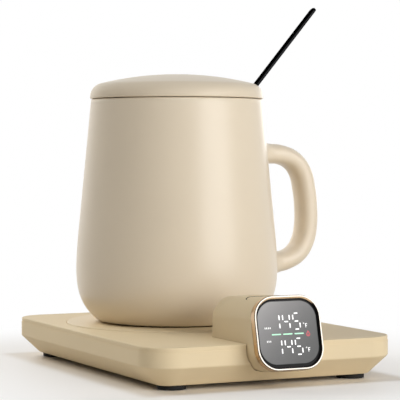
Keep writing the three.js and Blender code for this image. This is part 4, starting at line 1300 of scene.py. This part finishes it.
class MUGWARMER_OT_bush(Operator):
    """Turns the ribbed sleeve for the cord in the back wall"""

    bl_idname = "mugwarmer.bush"
    bl_label = "Cord bush"

    def execute(self, context):
        low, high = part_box("cord_bush")
        middle = (low + high) / 2 - SEAT
        start, end = low.y - SEAT.y, high.y - SEAT.y
        bm = bmesh.new()
        outside = context.scene.warmer_stand.back + 0.3 * MM - start
        inside = [(1.7, 0), (2.5, 0), (2.5, 1.2), (2.1, 1.2)]
        ribs = [(2.1, 0), (3.0, 0), (2.9, 0.8), (2.6, 0.95), (2.75, 1.15), (2.7, 1.6)]
        ribs += [(2.45, 1.75), (2.55, 1.9)]
        tail = mm([(2.5, 0), (1.7, 0)], end - start)
        profile = mm(inside) + mm(ribs, outside) + tail
        turned(bm, profile, 48, closed=True, matrix=lying(middle.x, start, middle.z))
        bush = loose("cord_sleeve", bm)
        material = rubber(context.scene.warmer_colours.rubber)
        dress(bush, "stand", "black_rubber", material, "cord_bush")
        return {"FINISHED"}


def bezier(start, first, last, end, count):
    """A (radius, height) profile along a curve with two handles."""
    points = (Vector((*point, 0)) for point in (start, first, last, end))
    return [(point.x, point.y) for point in interpolate_bezier(*points, count)]


class MUGWARMER_OT_mug(Operator):
    """Turns the mug and draws its handle out of the wall"""

    bl_idname = "mugwarmer.mug"
    bl_label = "Mug"

    def execute(self, context):
        mug = context.scene.warmer_mug
        foot = below_seat("mug_body")
        bm = bmesh.new()
        turned(bm, self.profile(mug), 176, matrix=raised(foot))
        cup = loose("mug", bm)
        carve(cup, self.handle(mug, foot), "UNION")
        self.blend(cup)
        colours = context.scene.warmer_colours
        material = satin_glaze("mug_glaze", colours.glaze, colours.painted_foot_shadow)
        dress(cup, "mug", "cream_glaze", material, "mug_body", sharp=radians(60))
        return {"FINISHED"}

    def outline(self, mug, inset):
        """The outer wall from the bottom's edge up to the rim, moved in by inset."""
        bottom, belly = mug.bottom_radius - inset, mug.belly_radius - inset
        taper, rim = mug.taper_radius - inset, mug.rim_radius - inset
        rise, turn = 0.38 * mug.belly_height, radians(37)
        low = 0.7 * MM
        lower = bezier(
            (bottom, low),
            (bottom + rise * cos(turn), low + rise * sin(turn)),
            (belly, mug.belly_height * (1 - 0.455)),
            (belly, mug.belly_height),
            18,
        )
        lean = Vector((taper - rim, mug.height - mug.taper_height)).normalized()
        reach = 0.37 * mug.belly_height
        upper = bezier(
            (belly, mug.belly_height),
            (belly, mug.belly_height * 1.3),
            (taper + reach * lean.x, mug.taper_height - reach * lean.y),
            (taper, mug.taper_height),
            16,
        )
        wall = mug.height - mug.taper_height
        straight = [
            (taper + (rim - taper) * i / 26, mug.taper_height + wall * i / 26)
            for i in range(1, 27)
        ]
        return lower + upper[1:] + straight

    def profile(self, mug):
        """The whole cross-section, from the foot's middle round the rim to the floor's."""
        outer, inner = self.outline(mug, 0), self.outline(mug, mug.wall)
        inner = [point for point in inner if point[1] > mug.floor * 2.1]
        floor = mug.floor + 0.7 * MM
        under = mm([(0, 1), (29, 1), (29.7, 0.15), (30, 0), (33.1, 0), (33.5, 0.25), (33.6, 0.7)])
        rim = mug.rim_radius
        top = mm([(-0.05, -0.45), (-0.25, -0.12), (-0.7, 0)], mug.height, rim)
        lip = [(1.5, 0), (0.75, -0.2), (0.2, -0.75), (0, -1.5)]
        top += mm(lip, mug.height, rim - mug.wall)
        inside = [point for point in reversed(inner) if point[1] < mug.height - 2 * MM]
        return under + outer[:-1] + top + inside + [(inner[0][0] - mug.floor, floor), (0, floor)]

    def handle(self, mug, foot):
        """The handle's band, drawn along its line and flared into the wall at both ends."""
        section = bpy.data.curves.new("section", "CURVE")
        section.dimensions = "2D"
        rim = section.splines.new("POLY")
        count = 40
        rim.points.add(count - 1)
        for i, point in enumerate(rim.points):
            turn = 2 * pi * i / count
            x, y = (copysign(abs(one) ** (2 / 2.4), one) for one in (sin(turn), cos(turn)))
            point.co = (mug.handle_width / 2 * x, mug.handle_thickness / 2 * y, 0, 1)
        rim.use_cyclic_u = True
        profile = bpy.data.objects.new("section", section)
        curve = bpy.data.curves.new("handle", "CURVE")
        curve.dimensions = "3D"
        curve.bevel_mode, curve.bevel_object, curve.use_fill_caps = "OBJECT", profile, True
        curve.twist_mode = "MINIMUM"
        path = curve.splines.new("BEZIER")
        path.bezier_points.add(len(HANDLE_LINE) - 1)
        path.resolution_u = 5
        for knot, (x, z, radius) in zip(path.bezier_points, HANDLE_LINE):
            knot.co = SEAT + Vector((x * MM, 0, foot + z * MM))
            knot.handle_left_type = knot.handle_right_type = "AUTO"
            knot.radius = radius
        holder = bpy.data.objects.new("handle", curve)
        for made in (profile, holder):
            bpy.context.scene.collection.objects.link(made)
        graph = bpy.context.evaluated_depsgraph_get()
        mesh = bpy.data.meshes.new_from_object(holder.evaluated_get(graph))
        bpy.data.objects.remove(holder)
        bpy.data.objects.remove(profile)
        bm = bmesh.new()
        bm.from_mesh(mesh)
        bmesh.ops.remove_doubles(bm, verts=bm.verts[:], dist=0.001 * MM)
        turn_outwards(bm)
        return kept("handle", bm)

    def blend(self, cup):
        """Melts the handle's roots into the wall."""
        bm = mesh_of(cup)
        bmesh.ops.remove_doubles(bm, verts=bm.verts[:], dist=0.02 * MM)
        tree = KDTree(len(bm.verts))
        seeds = [
            vertex.co
            for edge in bm.edges
            if edge.is_manifold and not edge.is_convex and edge.calc_face_angle() > radians(9)
            for vertex in edge.verts
            if vertex.co.x - SEAT.x > 40 * MM
        ]
        for number, place in enumerate(seeds):
            tree.insert(place, number)
        tree.balance()
        near = [
            vertex
            for vertex in bm.verts
            if hypot(*(vertex.co - SEAT).xy) > 39 * MM and tree.find(vertex.co)[2] < 2.6 * MM
        ]
        axes = {"use_axis_x": True, "use_axis_y": True, "use_axis_z": True}
        for _ in range(10):
            bmesh.ops.smooth_vert(bm, verts=near, factor=0.5, **axes)
        rework(cup, bm)


class MUGWARMER_OT_lid(Operator):
    """Turns the domed lid and cuts the slot for the spoon"""

    bl_idname = "mugwarmer.lid"
    bl_label = "Lid"

    def execute(self, context):
        mug = context.scene.warmer_mug
        top = below_seat("lid", 1)
        base = top - mug.lid_rise
        lip = mug.rim_radius - mug.wall
        overhang, upright = 0.45 * MM, 1 * MM
        radius = mug.rim_radius + overhang
        edge = mug.lid_edge
        middle = radius - edge
        dome_height = mug.lid_rise - upright
        dome = (dome_height**2 + middle**2 - edge**2) / (2 * (dome_height - edge))
        centre = mug.lid_rise - dome
        meet = Vector((middle, upright - centre)).angle_signed(Vector((1, 0)))
        shoulder = arc((middle, upright), edge, 0, meet, 12)
        crown = arc((0, centre), dome, meet, pi / 2, 14)[1:-1] + [(0, mug.lid_rise)]
        outer = lip - 0.6 * MM
        inner, ceiling, skirt = outer - 2.4 * MM, mug.lid_rise - 4.4 * MM, -5.3 * MM
        under = [(0, ceiling), (inner, ceiling), (inner, skirt), (outer, skirt), (outer, 0)]
        under = rounded(under + [(radius, 0), (radius, 0.99 * MM)], 0.6 * MM)
        bm = bmesh.new()
        turned(bm, under[:-1] + shoulder + crown, 176, matrix=raised(base))
        lid = loose("mug_lid", bm)
        carve(lid, loose("slot", self.slot(lip, mug.slot_width / 2, base)))
        bevelled(lid, 0.35, 3, 48)
        colours = context.scene.warmer_colours
        material = satin_glaze("lid_glaze", colours.glaze, colours.painted_foot_shadow, 0.2)
        dress(lid, "mug_lid", "cream_glaze", material, "lid", sharp=radians(50))
        return {"FINISHED"}

    def slot(self, lip, half, base):
        """The room of the spoon's slot, which runs out through the lid's edge."""
        bm = bmesh.new()
        reach = 20 * MM
        spot = Matrix.Translation((lip - 0.35 * MM + reach - half, 0, base - 10 * MM))
        face = rounded_plate(bm, reach, half, half, 16, spot)
        step(bm, face, 0, 30 * MM)
        close(bm)
        return bm


class MUGWARMER_OT_spoon(Operator):
    """Models the flat black spoon that leans on the mug's lip"""

    bl_idname = "mugwarmer.spoon"
    bl_label = "Spoon"

    def execute(self, context):
        spoon, mug = context.scene.warmer_spoon, context.scene.warmer_mug
        along = Vector((sin(spoon.lean), 0, cos(spoon.lean)))
        under = Vector((cos(spoon.lean), 0, -sin(spoon.lean)))
        edge, free, tip = 1.5 * MM, 0.3 * MM, -114.76 * MM
        height = below_seat("mug_body") + mug.height
        lip = Vector((mug.rim_radius - mug.wall + edge, 0, height - edge))
        rest = lip - under * (edge + free + spoon.thickness / 2)
        matrix = Matrix((
            (under.x, 0, along.x, rest.x + SEAT.x),
            (under.y, 1, along.y, rest.y + SEAT.y),
            (under.z, 0, along.z, rest.z + SEAT.z),
            (0, 0, 0, 1),
        ))
        bm = bmesh.new()
        overlap, end, rounding = 4 * MM, 1.9 * MM, 0.22 * MM
        low = tip + spoon.bowl_length - overlap
        spot = Matrix.Translation((-spoon.thickness / 2, 0, (low + spoon.standout) / 2))
        spot = spot @ Matrix.Rotation(pi / 2, 4, "Y")
        face = rounded_plate(bm, (spoon.standout - low) / 2, spoon.width / 2, end, 8, spot)
        extruded = bmesh.ops.extrude_discrete_faces(bm, faces=[face])["faces"][0]
        bmesh.ops.translate(bm, verts=extruded.verts[:], vec=(spoon.thickness, 0, 0))
        close(bm)
        rims = []
        for edge in bm.edges:
            first, last = edge.verts
            if abs(first.co.x - last.co.x) < 0.01 * MM:
                rims.append(edge)
        soften(bm, rims, rounding)
        handle = kept("long_spoon", bm)
        bowl = self.bowl(spoon, tip)
        carve(handle, self.bowl(spoon, tip, hollow=True))
        carve(handle, bowl, "UNION")
        handle.data.transform(matrix)
        material = black_coated_steel(context.scene.warmer_colours.spoon, spoon.lean)
        dress(handle, "stirring_spoon", "black_steel", material, "spoon", sharp=radians(38))
        return {"FINISHED"}

    def bowl(self, spoon, tip, hollow=False):
        """The bowl's shell, or the room inside it."""
        bm = bmesh.new()
        bmesh.ops.create_uvsphere(bm, u_segments=48, v_segments=24, radius=1)
        wall = 1 * MM if hollow else 0
        halves = (spoon.bowl_depth, spoon.bowl_width / 2, spoon.bowl_length / 2)
        bmesh.ops.scale(bm, vec=[half - wall for half in halves], verts=bm.verts[:])
        middle = (-spoon.thickness / 2, 0, tip + spoon.bowl_length / 2)
        bmesh.ops.translate(bm, vec=middle, verts=bm.verts[:])
        if hollow:
            return kept("bowl", bm)
        plane = {"plane_co": (-spoon.thickness / 2, 0, 0), "plane_no": (-1, 0, 0)}
        geometry = bm.verts[:] + bm.edges[:] + bm.faces[:]
        bmesh.ops.bisect_plane(bm, geom=geometry, clear_outer=True, **plane)
        close(bm)
        made = kept("bowl", bm)
        carve(made, self.bowl(spoon, tip, hollow=True))
        return made


class MUGWARMER_OT_inside(Operator):
    """Gives the working parts inside the stand their finishes"""

    bl_idname = "mugwarmer.inside"
    bl_label = "Working parts"

    def execute(self, context):
        green = circuit_board()
        black = moulded_plastic("black_moulding", (0.014, 0.014, 0.015), 0.5, 1800)
        spring = metal("spring_wire", (0.52, 0.52, 0.53), 0.28, (1, 1, 4))
        finishes = {
            "heater_element": mica_film(),
            "insulation_pad": fibre_felt(),
            "plate_carrier": moulded_plastic("carrier_moulding", (0.20, 0.20, 0.195), 0.55, 1500),
            "plate_spring_1": spring,
            "plate_spring_2": spring,
            "plate_spring_3": spring,
            "weight_switch": black,
            "temperature_sensor": metal("sensor_steel", (0.6, 0.6, 0.6), 0.35),
            "thermal_fuse": moulded_plastic("fuse_ceramic", (0.68, 0.65, 0.58), 0.45, 900),
            "main_circuit_board": green,
            "light_mask": black,
            "display_board": green,
            "button_switch": black,
            "button_board": green,
        }
        for node, material in finishes.items():
            paint_node(node, material)
        return {"FINISHED"}


PIECES = (
    MUGWARMER_OT_stage,
    MUGWARMER_OT_tub,
    MUGWARMER_OT_cover,
    MUGWARMER_OT_fasteners,
    MUGWARMER_OT_plate,
    MUGWARMER_OT_housing,
    MUGWARMER_OT_bezel,
    MUGWARMER_OT_window,
    MUGWARMER_OT_bush,
    MUGWARMER_OT_mug,
    MUGWARMER_OT_lid,
    MUGWARMER_OT_spoon,
    MUGWARMER_OT_inside,
)


class VIEW3D_PT_mug_warmer(Panel):
    """Lists the pieces and the sizes they are made from"""

    bl_label = "Mug Warmer"
    bl_category = "Mug Warmer"
    bl_space_type = "VIEW_3D"
    bl_region_type = "UI"

    def draw(self, context):
        for piece in PIECES:
            self.layout.operator(piece.bl_idname)
        for name, group in GROUPS.items():
            box = self.layout.box()
            for setting in group.__annotations__:
                box.prop(getattr(context.scene, name), setting)


CLASSES = (*GROUPS.values(), *PIECES, VIEW3D_PT_mug_warmer)


def register():
    for made in CLASSES:
        bpy.utils.register_class(made)
    for name, group in GROUPS.items():
        setattr(bpy.types.Scene, name, PointerProperty(type=group))


def unregister():
    for name in GROUPS:
        delattr(bpy.types.Scene, name)
    for made in reversed(CLASSES):
        bpy.utils.unregister_class(made)


def main():
    register()
    for piece in PIECES:
        group, name = piece.bl_idname.split(".")
        getattr(getattr(bpy.ops, group), name)()


if __name__ == "__main__":
    main()
